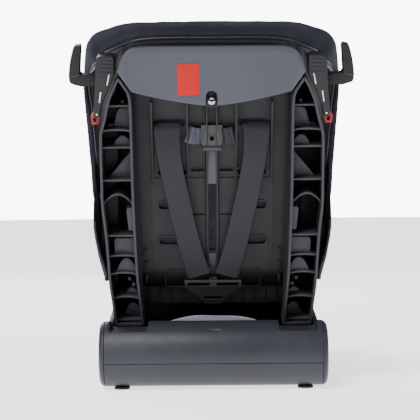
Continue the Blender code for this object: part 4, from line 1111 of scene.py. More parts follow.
def build_crossbar():
    near, far = [], []
    for t in spread(-1.0, 1.0, 72):
        (x0, z0), (x1, z1) = bar_lower(t), bar_upper(t)
        near_row, far_row = [], []
        for v in spread(0.0, 1.0, 18):
            x, z = x0 + (x1 - x0) * v, lean_z(z0 + (z1 - z0) * v, BAR_FAR)
            edge = min(v, 1 - v) * (z1 - z0)
            sides = (1 - abs(t)) * 0.140
            fall = max(0.0, 1 - min(edge, sides + 0.002) / 0.006)
            crown = 0.0016 * (1 - (2 * v - 1) ** 2) - 0.0016
            near_row.append((x, BAR_NEAR, z))
            far_row.append((x, BAR_FAR + crown - 0.0022 * fall ** 2, z))
        near.append(near_row)
        far.append(far_row)
    bar = add_piece("crossbar_panel", closed_grid(near, far), "grey_plastic", "shell",
                    ["rear_crossbar"], matrix=LEAN)
    hollow = bmesh.new()
    arch = [bar_upper(t) for t in spread(0.93, -0.93, 20)]
    outline = [(0.105, 0.492)] + [(x * 0.80, z - 0.008) for x, z in arch]
    outline += [(-0.105, 0.492), (-0.019, 0.481), (-0.016, 0.496), (0.016, 0.496), (0.019, 0.481)]
    slab(hollow, [(x, lean_z(z, BAR_FAR)) for x, z in outline], 0.030, BAR_FAR - 0.005)
    boolean(bar, hollow, "DIFFERENCE", LEAN)
    notch = bmesh.new()
    up = lean_z(0.4755, BAR_FAR)
    mouth = circle((0.0, up), 0.0096, 25, 0.0, 180.0) + [(-0.0096, up - 0.030), (0.0096, up - 0.030)]
    slab(notch, mouth, 0.025, 0.075)
    boolean(bar, notch, "DIFFERENCE", LEAN)
    shade(bar, 40.0)

    well = bmesh.new()
    ring_slab(well, circle((0.0, up), 0.0094, 40), circle((0.0, up), 0.0078, 40), 0.0545, lambda x: 0.030)
    slab(well, circle((0.0, up), 0.0082, 40), 0.030, 0.0400)
    slab(well, [(-0.0092, up), (-0.0092, up - 0.022), (0.0092, up - 0.022), (0.0092, up)], 0.030, 0.0398)
    # The screw's well is darker: painted shade in the recess.
    obj = add_piece("screw_well", well, "shaded_dark_plastic", "shell", matrix=LEAN)
    bevel(obj, 0.0004, 2)

    screw = bmesh.new()
    head_at = lean_z(0.4700, 0.04)
    add_cylinder(screw, (0.0, 0.0215, head_at), 0.0022, 0.041, "Y", 24)
    head = temporary(screw, "screw")
    washer = bmesh.new()
    add_cylinder(washer, (0.0, 0.0425, head_at), 0.0060, 0.0016, "Y", 48)
    boolean(head, washer, "UNION")
    dome = bmesh.new()
    add_cylinder(dome, (0.0, 0.0450, head_at), 0.0050, 0.0040, "Y", 48, 0.0036)
    boolean(head, dome, "UNION")
    socket = bmesh.new()
    add_cylinder(socket, (0.0, 0.0465, head_at), 0.0021, 0.0040, "Y", 6)
    boolean(head, socket)
    mesh = head.data.copy()
    bpy.data.objects.remove(head)
    obj = add_piece("frame_bolt", mesh, "steel", "shell", ["frame_screw"], matrix=LEAN)
    bevel(obj, 0.0003, 2)

    corners = [(0.0190, 0.4790), (0.0545, 0.4770), (0.0558, 0.5270), (0.0205, 0.5290)]
    loop = rounded([(x, lean_z(z, BAR_FAR)) for x, z in corners], 0.0022)
    rear_plate("label_sticker", [loop], BAR_FAR + 0.0001, BAR_FAR + 0.0007, "red_label", "shell",
               ["warning_label_blank"], edge=0.0002)
    bars = bmesh.new()
    for height, half in ((0.5180, 0.0062), (0.5090, 0.0085), (0.4990, 0.0050), (0.4900, 0.0080)):
        z = lean_z(height, BAR_FAR)
        slab(bars, rounded([(0.0372 - half, z - 0.0012), (0.0372 + half, z - 0.0012),
                            (0.0372 + half, z + 0.0012), (0.0372 - half, z + 0.0012)], 0.0008),
             BAR_FAR + 0.0006, BAR_FAR + 0.00085)
    add_piece("label_print_blocks", bars, "red_print", "shell", matrix=LEAN)


# ---------------------------------------------------------------- belt guides and clamps

CLAMP_DEPTH = 0.027


def build_belt_clamp(side, suffix):
    guide = [(0.1905, 0.5000), (0.2150, 0.4985), (0.2330, 0.5040), (0.2345, 0.5120), (0.2345, 0.5200),
             (0.2315, 0.5420), (0.2253, 0.5640), (0.2130, 0.5650), (0.2165, 0.5180), (0.1905, 0.5160)]
    loop = rounded(mirrored([(x, lean_z(z, 0.0)) for x, z in guide], side),
                   [0.002, 0.006, 0.005, 0.002, 0.004, 0.008, 0.0035, 0.0035, 0.005, 0.002])
    rear_plate("belt_hook_" + suffix, [loop], -0.014, 0.0140, "shaded_dark_plastic", "shell",
               ["belt_guide_" + suffix], edge=0.0022, segments=4)
    lip = [(0.2180, 0.5170), (0.2325, 0.5135), (0.2326, 0.5155), (0.2181, 0.5192)]
    loop = mirrored([(x, lean_z(z, 0.0)) for x, z in lip], side)
    # The lip is lighter: painted highlight.
    rear_plate("belt_hook_rib_" + suffix, [loop], 0.0130, 0.0156, "lit_rail_plastic", "shell",
               edge=0.0006)

    body = [(0.1575, 0.5150), (0.1575, 0.5460), (0.1870, 0.5460), (0.1900, 0.4900), (0.1930, 0.4600),
            (0.1930, 0.4480), (0.1835, 0.4480), (0.1800, 0.4650), (0.1690, 0.4900)]
    loop = rounded(mirrored([(x, lean_z(z, CLAMP_DEPTH)) for x, z in body], side),
                   [0.004, 0.006, 0.008, 0.012, 0.004, 0.003, 0.002, 0.004, 0.010])
    clamp = rear_plate("belt_clamp_body_" + suffix, [loop], 0.006, 0.046, "dark_clamp", "shell",
                       ["belt_clamp_" + suffix], edge=0.0014, segments=3)
    cut = bmesh.new()
    middle, outer = side * 0.1725, side * 0.1925
    add_box(cut, (middle - 0.0325, 0.022, lean_z(0.488, CLAMP_DEPTH)),
            (middle + 0.0325, 0.030, lean_z(0.536, CLAMP_DEPTH)))
    add_box(cut, (outer - 0.0120, 0.0172, lean_z(0.420, CLAMP_DEPTH)),
            (outer + 0.0120, 0.0368, lean_z(0.4610, CLAMP_DEPTH)))
    add_cylinder(cut, (side * 0.1875, CLAMP_DEPTH, lean_z(0.4530, CLAMP_DEPTH)), 0.0023, 0.060, "Y", 24)
    boolean(clamp, cut, "DIFFERENCE", LEAN)
    shade(clamp, 35.0)

    teeth = bmesh.new()
    for index in range(4):
        z = lean_z(0.5180 + 0.0064 * index, CLAMP_DEPTH)
        add_box(teeth, (side * 0.1720 - 0.0125, 0.0455, z), (side * 0.1720 + 0.0105, 0.0472, z + 0.0028))
    obj = add_piece("clamp_ribs_" + suffix, teeth, "dark_clamp", "shell", matrix=LEAN)
    bevel(obj, 0.0006, 2)
    plate = bmesh.new()
    upper = ((0.1648, 0.5130), (0.1668, 0.5130), (0.1705, 0.4960), (0.1688, 0.4950))
    lower = ((0.1790, 0.4850), (0.1812, 0.4850), (0.1838, 0.4680), (0.1820, 0.4670))
    for glint, reach in ((upper, 0.0478), (lower, 0.0474)):
        slab(plate, rounded([(side * x, lean_z(z, 0.0465)) for x, z in glint], 0.0008), 0.0445, reach)
    obj = add_piece("clamp_spring_plate_" + suffix, plate, "steel", "shell", matrix=LEAN)
    bevel(obj, 0.0004, 2)
    finish_node("clamp_lever_" + suffix, "red_plastic", 0.0012, 3)
    finish_node("clamp_pin_" + suffix, "steel", 0.0004)


# ---------------------------------------------------------------- the cover's rim and side flaps

RIM_TURN = 8.0                    # the station where the rim roll leaves the flange for the top corner


def rim_guides():
    """The rim roll's inner and outer edges and its depth, from the seat's front corner to the middle."""
    inner, outer, depths = [], [], []
    for position in spread(0.0, RIM_TURN, 32):
        inner.append(bucket_point(position, 3.92) - rise_at(position) * 0.001)
        outer.append(bucket_point(position, 4.0) + Vector((0.0100, 0.0, 0.0)))
        depths.append(0.0085)
    top_inner = [inner[-1], (0.2135, 0.062, 0.5140), (0.2085, 0.085, 0.5330), (0.1960, 0.125, 0.5430),
                 (0.1809, 0.150, 0.5549), (0.1660, 0.172, 0.5610), (0.1332, 0.198, 0.5700),
                 (0.1003, 0.203, 0.5740), (0.0550, 0.205, 0.5750), (0.0, 0.206, 0.5745)]
    top_outer = [outer[-1], (0.2190, 0.064, 0.526), (0.2150, 0.100, 0.556), (0.2080, 0.135, 0.5745),
                 (0.1940, 0.152, 0.5880), (0.1700, 0.170, 0.5945), (0.1400, 0.185, 0.5975),
                 (0.1000, 0.192, 0.5985), (0.0500, 0.196, 0.5990), (0.0, 0.197, 0.5995)]
    steps = 7
    more_inner, more_outer = smooth_path(top_inner, steps)[1:], smooth_path(top_outer, steps)[1:]
    for index, (low, high) in enumerate(zip(more_inner, more_outer)):
        inner.append(low)
        outer.append(high)
        depths.append(0.0085 + 0.0085 * ease(0.0, 30.0, index))
    return inner, outer, depths


def build_rim():
    inner, outer, depths = rim_guides()
    rings = []
    sides = 28
    count = len(inner)
    for index in range(count):
        top = ease(30.0, count - 14.0, index)
        position = min(RIM_TURN, index * RIM_TURN / 32)
        back = (-rise_at(position) * (1 - top) + Vector((0.0, 1.0, 0.0)) * top).normalized()
        middle = (inner[index] + outer[index]) / 2
        reach = (outer[index] - inner[index]) / 2
        back = (back - reach * (back.dot(reach) / reach.length_squared)).normalized()
        ring = []
        for step in range(sides):
            turn = 2 * math.pi * step / sides
            across, deep = math.cos(turn), math.sin(turn)
            wide = math.copysign(abs(across) ** 0.85, across)
            fold = 1.0 - 0.50 * top * (1.0 - ease(-0.35, 0.05, across))
            depth = depths[index] * math.copysign(abs(deep) ** 0.8, deep)
            if deep > 0:
                depth *= fold
            point = middle + reach * wide + back * depth
            crease = noise.noise(Vector((point.x * 55, point.z * 55, point.y * 55))) * 0.0006
            crease += noise.noise(Vector((point.x * 14, point.z * 14, 7.0))) * 0.0008
            ring.append(point + (point - middle).normalized() * crease)
        rings.append(ring)
    rings += [[flipped(point) for point in ring] for ring in rings[-2::-1]]
    rim = add_piece("cover_rim_roll", loft(rings), "cover_fabric", "shell", ["rim_cover"],
                    smooth=80.0)
    subdivide(rim)

    # The flange edge drawn as a thin bead of lighter plastic: a painted highlight along it.
    bead_path = both_sides([point + Vector((-0.0012, 0.002, -0.0010)) for point in inner])
    bead = add_piece("shell_highlight_bead", tube(bead_path, 0.0021, 10), "highlight_bead_plastic", "shell")
    bead.data.shade_smooth()


def build_top_ledge():
    """The rolled upper edge of the shell between the crossbar and the cover."""
    inner, _, _ = rim_guides()
    arc = both_sides([point for point in inner if point.z > 0.527])
    rings = []
    for point in arc:
        ring = []
        for step in range(12):
            turn = 2 * math.pi * step / 12
            ring.append(point + Vector((0.0, -0.012 + 0.0125 * math.cos(turn),
                                        -0.0062 + 0.0062 * math.sin(turn))))
        rings.append(ring)
    # The ledge is lighter grey: painted light on the lit top of the shell.
    ledge = add_piece("shell_top_ledge", loft(rings), "lit_slate_rib", "shell")
    ledge.data.shade_smooth()


FLAP_WIDTHS = ((0.160, 0.1880), (0.167, 0.1900), (0.185, 0.1935), (0.210, 0.2000), (0.244, 0.2060),
               (0.262, 0.2085), (0.600, 0.2085))
FLAP_HEMS = (0.215, 0.205, 0.196, 0.190, 0.184, 0.178, 0.174, 0.171, 0.169, 0.167, 0.167, 0.168, 0.176,
             0.205, 0.270)


def flap_point(side, along, down):
    """The cover's flap outside the seat's wing: along the rim, and down from it to its hem."""
    position = 0.15 + 6.6 * along
    rim = bucket_point(position, 3.9) + Vector((0.0045, 0.0, 0.0))
    low = bucket_point(position, 2.15)
    hem = min(station_list(FLAP_HEMS, along), rim.z - 0.045)
    point = rim + Vector((0.0, 0.004 * down, (hem - rim.z) * down))
    quilt = abs(math.sin(math.pi * along * 6.0)) ** 0.6 * abs(math.sin(math.pi * down * 2.0)) ** 0.5
    limit = flap_width(max(point.z, FLAP_WIDTHS[0][0]))
    ripple = 0.0012 * math.sin(along * 31.0 + down * 3.0) * ease(0.3, 1.0, down)
    x = min(point.x, limit) - 0.0036 * (1.0 - quilt) * ease(0.0, 0.15, down) + ripple
    point.x = max(x, low.x + 0.005)
    return Vector((side * point.x, point.y, point.z))


def flap_width(height):
    """How far out the flap may stand at a height."""
    for (z0, x0), (z1, x1) in zip(FLAP_WIDTHS, FLAP_WIDTHS[1:]):
        if height <= z1:
            return x0 + (x1 - x0) * (height - z0) / (z1 - z0)
    return FLAP_WIDTHS[-1][1]


def build_flap(side, suffix):
    rows, columns = 96, 32
    outer = [[flap_point(side, i / rows, j / columns) for j in range(columns + 1)] for i in range(rows + 1)]
    inner = []
    for i, row in enumerate(outer):
        line = []
        for j, point in enumerate(row):
            edge = min(i, rows - i, columns - j) / 3.0
            thick = 0.0016 + 0.0034 * min(edge, 1.0)
            line.append(point - Vector((side * thick, 0.0, 0.0)))
        inner.append(line)
    flap = add_piece("cover_side_flap_" + suffix, closed_grid(outer, inner), "flap_fabric", "shell",
                     smooth=80.0)
    subdivide(flap)
    hem = [row[-1] + Vector((0.0, 0.0, 0.0006)) for row in outer]
    binding = add_piece("flap_binding_" + suffix, tube(hem, 0.0024, 8, Vector((1.0, 0.0, 0.1))),
                        "piping_fabric", "shell")
    binding.data.shade_smooth()


# ---------------------------------------------------------------- the pads

def running(points):
    lengths = [0.0]
    for point, following in zip(points, points[1:]):
        lengths.append(lengths[-1] + (following - point).length)
    return lengths


def round_edge(distance, reach):
    t = min(max(distance / reach, 0.0), 1.0)
    return math.sqrt(max(1 - (1 - t) ** 2, 0.0))


def with_values(values, extra):
    """Evenly spread values with the nearest ones moved onto the seams."""
    moved = list(values)
    for wanted in extra:
        nearest = min(range(len(moved)), key=lambda index: abs(moved[index] - wanted))
        moved[nearest] = wanted
    return moved


def cushion(name, rows, columns, near, far, material, node, seam_rows=(), seam_columns=(), edge=0.030,
            cap=0.008, seam_height=0.4, groove=0.006):
    """A crowned pad on the bucket: seams hold it down, and air pressure swells the cloth between them."""
    rows, columns = with_values(rows, seam_rows), with_values(columns, seam_columns)
    surface = [[bucket_point(s, p) for p in columns] for s in rows]
    normal = [[inward(s, p) for p in columns] for s in rows]
    across = [running(line) for line in surface]
    down = [running([surface[i][j] for i in range(len(rows))]) for j in range(len(columns))]
    border = near + (far - near) * seam_height

    def on_border(i, j):
        return i in (0, len(rows) - 1) or j in (0, len(columns) - 1)

    def bulge(i, j, reach):
        """0 at the pad's border, 1 further in than reach and round between."""
        beside = min(across[i][j], across[i][-1] - across[i][j])
        along = min(down[j][i], down[j][-1] - down[j][i])
        return round_edge(beside, reach) * round_edge(along, reach)

    bm = bmesh.new()
    pinned = []
    top, bottom = [], []
    for i in range(len(rows)):
        top_line = []
        for j in range(len(columns)):
            crown = bulge(i, j, edge)
            height = border + (far - border) * crown
            on_seam = rows[i] in seam_rows or columns[j] in seam_columns
            if on_seam:
                height -= groove * crown
            vert = bm.verts.new(surface[i][j] + normal[i][j] * height)
            top_line.append(vert)
            pinned.append(on_seam or on_border(i, j))
        top.append(top_line)
    for i in range(len(rows)):
        line = []
        for j in range(len(columns)):
            if on_border(i, j):
                line.append(top[i][j])
                continue
            height = border - (border - near) * bulge(i, j, edge / 3)
            line.append(bm.verts.new(surface[i][j] + normal[i][j] * height))
            pinned.append(True)
        bottom.append(line)
    grid_faces(bm, top)
    for i in range(len(rows) - 1):
        for j in range(len(columns) - 1):
            bm.faces.new((bottom[i][j], bottom[i + 1][j], bottom[i + 1][j + 1], bottom[i][j + 1]))
    pad = add_piece(name, bm, material, "shell", [node], smooth=80.0)
    swell(pad, pinned, cap)
    crumple(pad, pinned, 0.0005)
    subdivide(pad)
    return ([surface[0][j] + normal[0][j] * border for j in range(len(columns))]
            + [surface[i][-1] + normal[i][-1] * border for i in range(1, len(rows))]
            + [surface[-1][j] + normal[-1][j] * border for j in range(len(columns) - 2, -1, -1)]
            + [surface[i][0] + normal[i][0] * border for i in range(len(rows) - 2, 0, -1)])


def swell(pad, pinned, cap):
    """Blow the pad up a little with cloth simulation, the seams and the underside held."""
    rest = [vertex.co.copy() for vertex in pad.data.vertices]
    held = pad.vertex_groups.new(name="held")
    held.add([index for index, fixed in enumerate(pinned) if fixed], 1.0, "REPLACE")
    cloth = pad.modifiers.new("cloth", "CLOTH")
    settings = cloth.settings
    settings.quality = 4
    settings.mass = 0.15
    settings.tension_stiffness = 12.0
    settings.compression_stiffness = 12.0
    settings.shear_stiffness = 6.0
    settings.bending_stiffness = 0.4
    settings.air_damping = 4.0
    settings.use_pressure = True
    settings.uniform_pressure_force = 4.0
    settings.shrink_min = -0.035
    settings.vertex_group_mass = "held"
    settings.effector_weights.gravity = 0.0
    cloth.collision_settings.use_collision = False
    cloth.collision_settings.use_self_collision = False
    cloth.point_cache.frame_start = 1
    cloth.point_cache.frame_end = 20
    scene = bpy.context.scene
    for frame_number in range(1, 21):
        scene.frame_set(frame_number)
    blown = evaluated_mesh(pad)
    moved = []
    for before, vertex in zip(rest, blown.vertices):
        shift = vertex.co - before
        if shift.length > cap:
            shift *= cap / shift.length
        moved.append(before + shift)
    pad.modifiers.clear()
    pad.vertex_groups.clear()
    bpy.data.meshes.remove(blown)
    scene.frame_set(1)
    for vertex, point in zip(pad.data.vertices, moved):
        vertex.co = point
    pad.data.update()


def crumple(pad, pinned, amount):
    """Small soft creases in the free cloth."""
    for vertex, fixed in zip(pad.data.vertices, pinned):
        if fixed:
            continue
        point = vertex.co
        crease = noise.noise(point * 42.0) + 0.6 * noise.noise(point * 90.0 + Vector((3.0, 1.0, 5.0)))
        vertex.co = point + vertex.normal * (crease * amount)
    pad.data.update()


def piping(name, loop, radius):
    cord = add_piece(name, tube(loop, radius, 8, Vector((0.11, -0.8, 0.6)), loop=True), "piping_fabric",
                     "shell")
    cord.data.shade_smooth()


def build_pads():
    edge_line = cushion("seat_cushion", spread(0.03, 5.0, 62), spread(-1.33, 1.33, 44), 0.0045, 0.026,
                        "pad_fabric", "seat_pad", seam_rows=(1.1, 2.35, 3.6),
                        seam_columns=(-0.62, 0.62))
    piping("seat_piping", edge_line, 0.0022)
    edge_line = cushion("back_cushion", spread(6.1, 11.2, 76), spread(-0.99, 0.99, 40), 0.0045, 0.030,
                        "pad_fabric", "back_pad", seam_rows=(6.9, 7.6, 8.3, 9.0, 9.9),
                        seam_columns=(-0.55, 0.55))
    piping("back_piping", edge_line, 0.0022)
    edge_line = cushion("head_cushion", spread(9.3, 10.8, 26), spread(-0.74, 0.74, 34), 0.0315, 0.052,
                        "cover_fabric", "head_pillow", edge=0.026, seam_height=0.35,
                        cap=0.007)
    piping("head_piping", edge_line, 0.0020)
    for side, suffix in SIDES:
        places = sorted(side * spot for spot in spread(1.67, 2.92, 18))
        edge_line = cushion("side_cushion_" + suffix, spread(0.20, 10.6, 118), places, 0.0056, 0.021,
                            "cover_fabric", "side_pad_" + suffix,
                            seam_rows=(2.0, 4.0, 6.0, 7.6, 9.2), edge=0.018, cap=0.006, groove=0.005)
        piping("side_piping_" + suffix, edge_line, 0.0018)


def panel_point(x, depth, up):
    return LEAN @ Vector((x, depth, up))


def band_pad(name, points, facing, width, low, high, node, steps=8, ends=0.012):
    """A padded sleeve along a belt: crowned, with round ends and sewn channels across it."""
    path = smooth_path(points, steps)
    lengths = running(path)
    rings = []
    across_steps = 22
    for index, (point, _, normal, across) in enumerate(frames_along(path, Vector(facing))):
        along = min(lengths[index], lengths[-1] - lengths[index])
        end = round_edge(along + 0.0006, ends)
        ring = []
        for step in range(across_steps):
            turn = 2 * math.pi * step / across_steps
            spread_out = math.copysign(abs(math.cos(turn)) ** 0.6, math.cos(turn))
            lift = math.sin(turn)
            thick = (high - low) / 2 * end
            quilt = 1.0 - 0.10 * (math.cos(lengths[index] / 0.011) > 0.96)
            height = (low + high) / 2 + lift * thick * (abs(lift) ** 0.1) * quilt
            ring.append(point + across * (spread_out * width / 2 * (0.86 + 0.14 * end)) + normal * height)
        rings.append(ring)
    pad = add_piece(name, loft(rings), "pad_fabric", "shell", [node], smooth=80.0)
    subdivide(pad)


def build_harness(side, suffix):
    slot_up = lean_z(SLOT_HEIGHTS[-1], 0.0)
    x = side * STRAP_X
    front = [panel_point(x, 0.001, slot_up), panel_point(x, -0.020, slot_up),
             panel_point(x, -0.0335, slot_up), panel_point(x, -0.0385, slot_up - 0.010),
             panel_point(x, -0.0385, slot_up - 0.050),
             Vector((side * 0.055, 0.104, 0.345)), Vector((side * 0.040, 0.060, 0.318)),
             Vector((side * 0.027, 0.012, 0.321))]
    forward = Vector((0.0, -0.75, 0.65))
    webbing("shoulder_belt_" + suffix, front, forward, HARNESS_WIDTH, ["shoulder_strap_" + suffix])
    coarse = smooth_path(front, 3)[12:19]
    band_pad("shoulder_cushion_" + suffix, coarse, forward, 0.050, 0.0024, 0.0120, "shoulder_pad_" + suffix)
    lap = [Vector((side * 0.052, -0.003, 0.290)), Vector((side * 0.080, -0.004, 0.262)),
           Vector((side * 0.104, 0.006, 0.242)), Vector((side * 0.124, 0.024, 0.232))]
    webbing("lap_belt_" + suffix, lap, Vector((0.0, -1.0, 0.35)), 0.030, ["lap_strap_" + suffix])
    rear = [(side * 0.0725, 0.0030, slot_up + 0.0005), (side * 0.0735, 0.0100, slot_up + 0.0003),
            (side * 0.0742, 0.0150, slot_up - 0.0030), (side * 0.0745, 0.0190, slot_up - 0.016),
            (side * 0.0700, 0.0245, slot_up - 0.060), (side * 0.0560, 0.0255, 0.165),
            (side * 0.0375, 0.0245, 0.085), (side * 0.0230, 0.0222, 0.036)]
    sideways = LEAN.to_3x3() @ Vector((1.0, 0.0, 0.0))
    webbing("rear_belt_" + suffix, rear, Vector((0.0, 1.0, 0.0)), HARNESS_WIDTH, ["rear_strap_" + suffix],
            LEAN, cup=0.0008, widths=(1.24, 1.24, 1.24, 1.14, 1.02, 1.0, 1.0, 1.0), sideways=sideways)
    band = [(side * 0.0175, 0.0125, lean_z(0.415, 0.01)), (side * 0.0220, 0.0165, lean_z(0.4155, 0.01)),
            (side * 0.0290, 0.0185, lean_z(0.416, 0.01)), (side * 0.0365, 0.0160, lean_z(0.4175, 0.01)),
            (side * 0.0410, 0.0110, lean_z(0.419, 0.01))]
    folded_band(side, suffix, band)


def folded_band(side, suffix, points):
    """The short band from the anchor plate to the shoulder pad, its webbing gathered in upright folds."""
    path = smooth_path([LEAN @ Vector(point) for point in points], 12)
    facing = LEAN.to_3x3() @ Vector((0.0, 1.0, 0.0))
    section = [(spot, 0.0009) for spot in (-1.0, -0.9, -0.45, 0.0, 0.45, 0.9, 1.0)]
    section += [(spot, -0.0009) for spot in (0.9, 0.45, 0.0, -0.45, -0.9)]
    rings = []
    count = len(path) - 1
    for index, (point, _, normal, across) in enumerate(frames_along(path, facing)):
        t = index / count
        fold = 0.0013 * math.sin(t * 30.0) * ease(0.05, 0.4, t) * (1.0 if side > 0 else 0.5)
        half = 0.0155 * (0.86 + 0.14 * t)
        rings.append([point + across * (half * spot)
                      + normal * (lift + fold * (1 - 0.3 * spot * spot)) for spot, lift in section])
    bm = loft(rings, uv_width=[0.0155 * spot for spot, _ in section])
    # The left band takes the lighter webbing copy: painted sheen; the right band stays plain webbing.
    band = add_piece("anchor_loop_" + suffix, bm, "painted_sheen_webbing" if side > 0 else "webbing", "shell",
                     ["pad_anchor_band_" + suffix], smooth=80.0)
    subdivide(band)


def build_anchor():
    low, high = lean_z(0.393, 0.012), lean_z(0.432, 0.012)
    plate = rounded([(0.0175, high), (0.0175, low + 0.010), (0.0110, low), (-0.0110, low),
                     (-0.0175, low + 0.010), (-0.0175, high)], [0.002, 0.004, 0.006, 0.006, 0.004, 0.002])
    eye = (0.0, (low + high) / 2 - 0.002)
    hole = circle(eye, 0.0040, 28)
    rear_plate("anchor_plate", [plate, hole[::-1]], 0.0095, 0.0135, "anchor_grey", "shell",
               ["pad_anchor_plate"], edge=0.0009, segments=3)
    parts = bmesh.new()
    for side in (-1, 1):
        prong = rounded([(side * 0.0075, high + 0.001), (side * 0.0115, high + 0.001),
                         (side * 0.0130, low + 0.010), (side * 0.0098, low + 0.008)], 0.0015)
        slab(parts, prong, 0.0125, 0.0165)
    lip = rounded([(-0.0165, low - 0.0020), (0.0165, low - 0.0020), (0.0135, low + 0.0035),
                   (-0.0135, low + 0.0035)], 0.0018)
    slab(parts, lip, 0.0105, 0.0180)
    ring_slab(parts, circle(eye, 0.0066, 32), circle(eye, 0.0040, 32), 0.0152, lambda x: 0.0125)
    obj = add_piece("anchor_prongs", parts, "anchor_grey", "shell", matrix=LEAN)
    bevel(obj, 0.0008, 2)


def build_buckle():
    finish_node("buckle_body", "black_plastic", 0.0008)
    finish_node("buckle_button", "red_plastic", 0.0008)
    for suffix in ("left", "right"):
        finish_node("buckle_tongue_" + suffix, "steel", 0.0004)
    crotch = [(0.0, -0.0860, 0.1820), (0.0, -0.0850, 0.205), (0.0, -0.0750, 0.222), (0.0, -0.0640, 0.2345)]
    webbing("crotch_belt", crotch, Vector((0.0, -1.0, 0.2)), 0.036, ["crotch_strap"])
    band_pad("crotch_cushion", [Vector((0.0, -0.0985, 0.2260)), Vector((0.0, -0.0880, 0.2400)),
                                Vector((0.0, -0.0745, 0.2560))], Vector((0.0, -1.0, 0.4)), 0.056, 0.0, 0.009,
             "crotch_pad", steps=14, ends=0.010)


def floor_height(y):
    position = 0.0
    while floor_point(position).y < y:
        position += 0.02
    return floor_point(position).z


def build_splitter():
    low = -0.010
    finish_node("splitter_plate", "black_steel", 0.0005)
    under = 0.0045
    path = [panel_point(0.0, 0.0222, low - 0.002), Vector((0.0, 0.100, 0.134)),
            Vector((0.0, 0.050, 0.148))]
    for y in (-0.020, -0.110, -0.200):
        path.append(Vector((0.0, y, floor_height(y) - under)))
    path.append(Vector((0.0, -0.246, floor_height(-0.244) - under)))
    webbing("adjuster_belt", path, Vector((0.0, 0.2, -1.0)), 0.030, ["adjuster_strap"])


# ---------------------------------------------------------------- the base

BASE_HALF_WIDTH = 0.177
BASE_WALL = 0.007
BASE_SPLIT_Z = 0.045
BASE_FLOOR_Z = 0.010
BASE_FRONT_Y = -0.250
ROLL_TOP_Z = 0.109
ROLL_FRONT_Y = 0.150
ROLL_REAR_Y = 0.262
NOTCH_X = 0.138
NOTCH_FLOOR_Z = 0.0955
FOOT_HEIGHT = 0.004
ROLL_RADIUS = (ROLL_TOP_Z - FOOT_HEIGHT) / 2
ROLL_CENTRE = (ROLL_REAR_Y - ROLL_RADIUS, (ROLL_TOP_Z + FOOT_HEIGHT) / 2)


def roll_section(inset, step=5):
    return circle(ROLL_CENTRE, ROLL_RADIUS - inset, 180 // step + 1, -90.0, 180.0)


def base_profile():
    rear = roll_section(0.0)
    top = smooth_path([(0.140, 0.100), (0.050, 0.110), (-0.050, 0.121), (-0.150, 0.139), (-0.215, 0.148),
                       (-0.240, 0.140), (BASE_FRONT_Y, 0.118)], 4)
    foot = [(BASE_FRONT_Y, 0.020), (-0.247, 0.010), (-0.238, FOOT_HEIGHT)]
    return rear + [(0.185, 0.1085), (0.168, 0.1062), (0.154, 0.1035), (0.148, 0.1020)] + \
        [tuple(point) for point in top] + foot


def base_half(name, keep_low, node):
    bm = bmesh.new()
    side_slab(bm, base_profile(), -BASE_HALF_WIDTH, BASE_HALF_WIDTH)
    half = add_piece(name, bm, "slate_plastic", "base", [node])
    cut = bmesh.new()
    if keep_low:
        add_box(cut, (-0.3, -0.4, BASE_SPLIT_Z - 0.0003), (0.3, 0.4, 0.3))
    else:
        add_box(cut, (-0.3, -0.4, -0.1), (0.3, 0.4, BASE_SPLIT_Z + 0.0004))
    boolean(half, cut)
    inner = BASE_HALF_WIDTH - BASE_WALL
    cavity = bmesh.new()
    loop = rounded([(-inner, BASE_FRONT_Y + BASE_WALL), (inner, BASE_FRONT_Y + BASE_WALL),
                    (inner, ROLL_FRONT_Y - 0.004), (-inner, ROLL_FRONT_Y - 0.004)], 0.016)
    upright_slab(cavity, loop, BASE_FLOOR_Z, 0.250)
    boolean(half, cavity)
    hollow = bmesh.new()
    section = [(y, min(z, NOTCH_FLOOR_Z - 0.004)) for y, z in roll_section(0.004)]
    mouth_y = ROLL_FRONT_Y + 0.002
    side_slab(hollow, section + [(mouth_y, section[-1][1]), (mouth_y, section[0][1])], -0.19, 0.19)
    boolean(half, hollow)
    if not keep_low:
        openings = bmesh.new()
        for side in (-1, 1):
            centre = side * NOTCH_X
            loop = rounded([(centre - 0.0310, NOTCH_FLOOR_Z), (centre + 0.0310, NOTCH_FLOOR_Z),
                            (centre + 0.0330, 0.140), (centre - 0.0330, 0.140)], 0.005)
            slab(openings, loop, 0.116, 0.2500)
        loop = rounded([(-0.062, 0.122), (0.062, 0.122), (0.062, 0.200), (-0.062, 0.200)], 0.010)
        slab(openings, loop, -0.300, -0.220)
        boolean(half, openings)
    bevel(half, 0.0009, 2, 38.0)
    return half


def build_base():
    base_half("base_tray", True, "base_lower_shell")
    upper = base_half("base_cover", False, "base_upper_cover")
    for side, suffix in SIDES:
        build_base_end(side, suffix)
        build_base_trim(side, suffix)
        finish_node("base_rail_" + suffix, "slate_plastic", 0.0010)
        for end in ("rear", "front"):
            finish_node("foot_pad_" + end + "_" + suffix, "rubber", 0.0008)
        finish_node("handle_bracket_" + suffix, "slate_plastic", 0.0010)
    thumb = bmesh.new()
    turn = math.radians(52.0)
    spot = Matrix.Translation((0.0, ROLL_CENTRE[0] + ROLL_RADIUS * math.cos(turn),
                               ROLL_CENTRE[1] + ROLL_RADIUS * math.sin(turn)))
    spot = spot @ Matrix.Rotation(turn, 4, "X") @ Matrix.Diagonal((1.0, 0.20, 0.32, 1.0))
    bmesh.ops.create_uvsphere(thumb, u_segments=40, v_segments=20, radius=0.0150, matrix=spot)
    boolean(upper, thumb)
    shade(upper, 38.0)
    build_leaflet()
    build_base_front()
    finish_node("handle_axle", "steel", 0.0003)
    finish_node("handle_spring", "steel", 0.0)
    finish_node("recline_handle", "slate_plastic", 0.0018, 3)
    finish_node("recline_latch_bar", "steel", 0.0004)


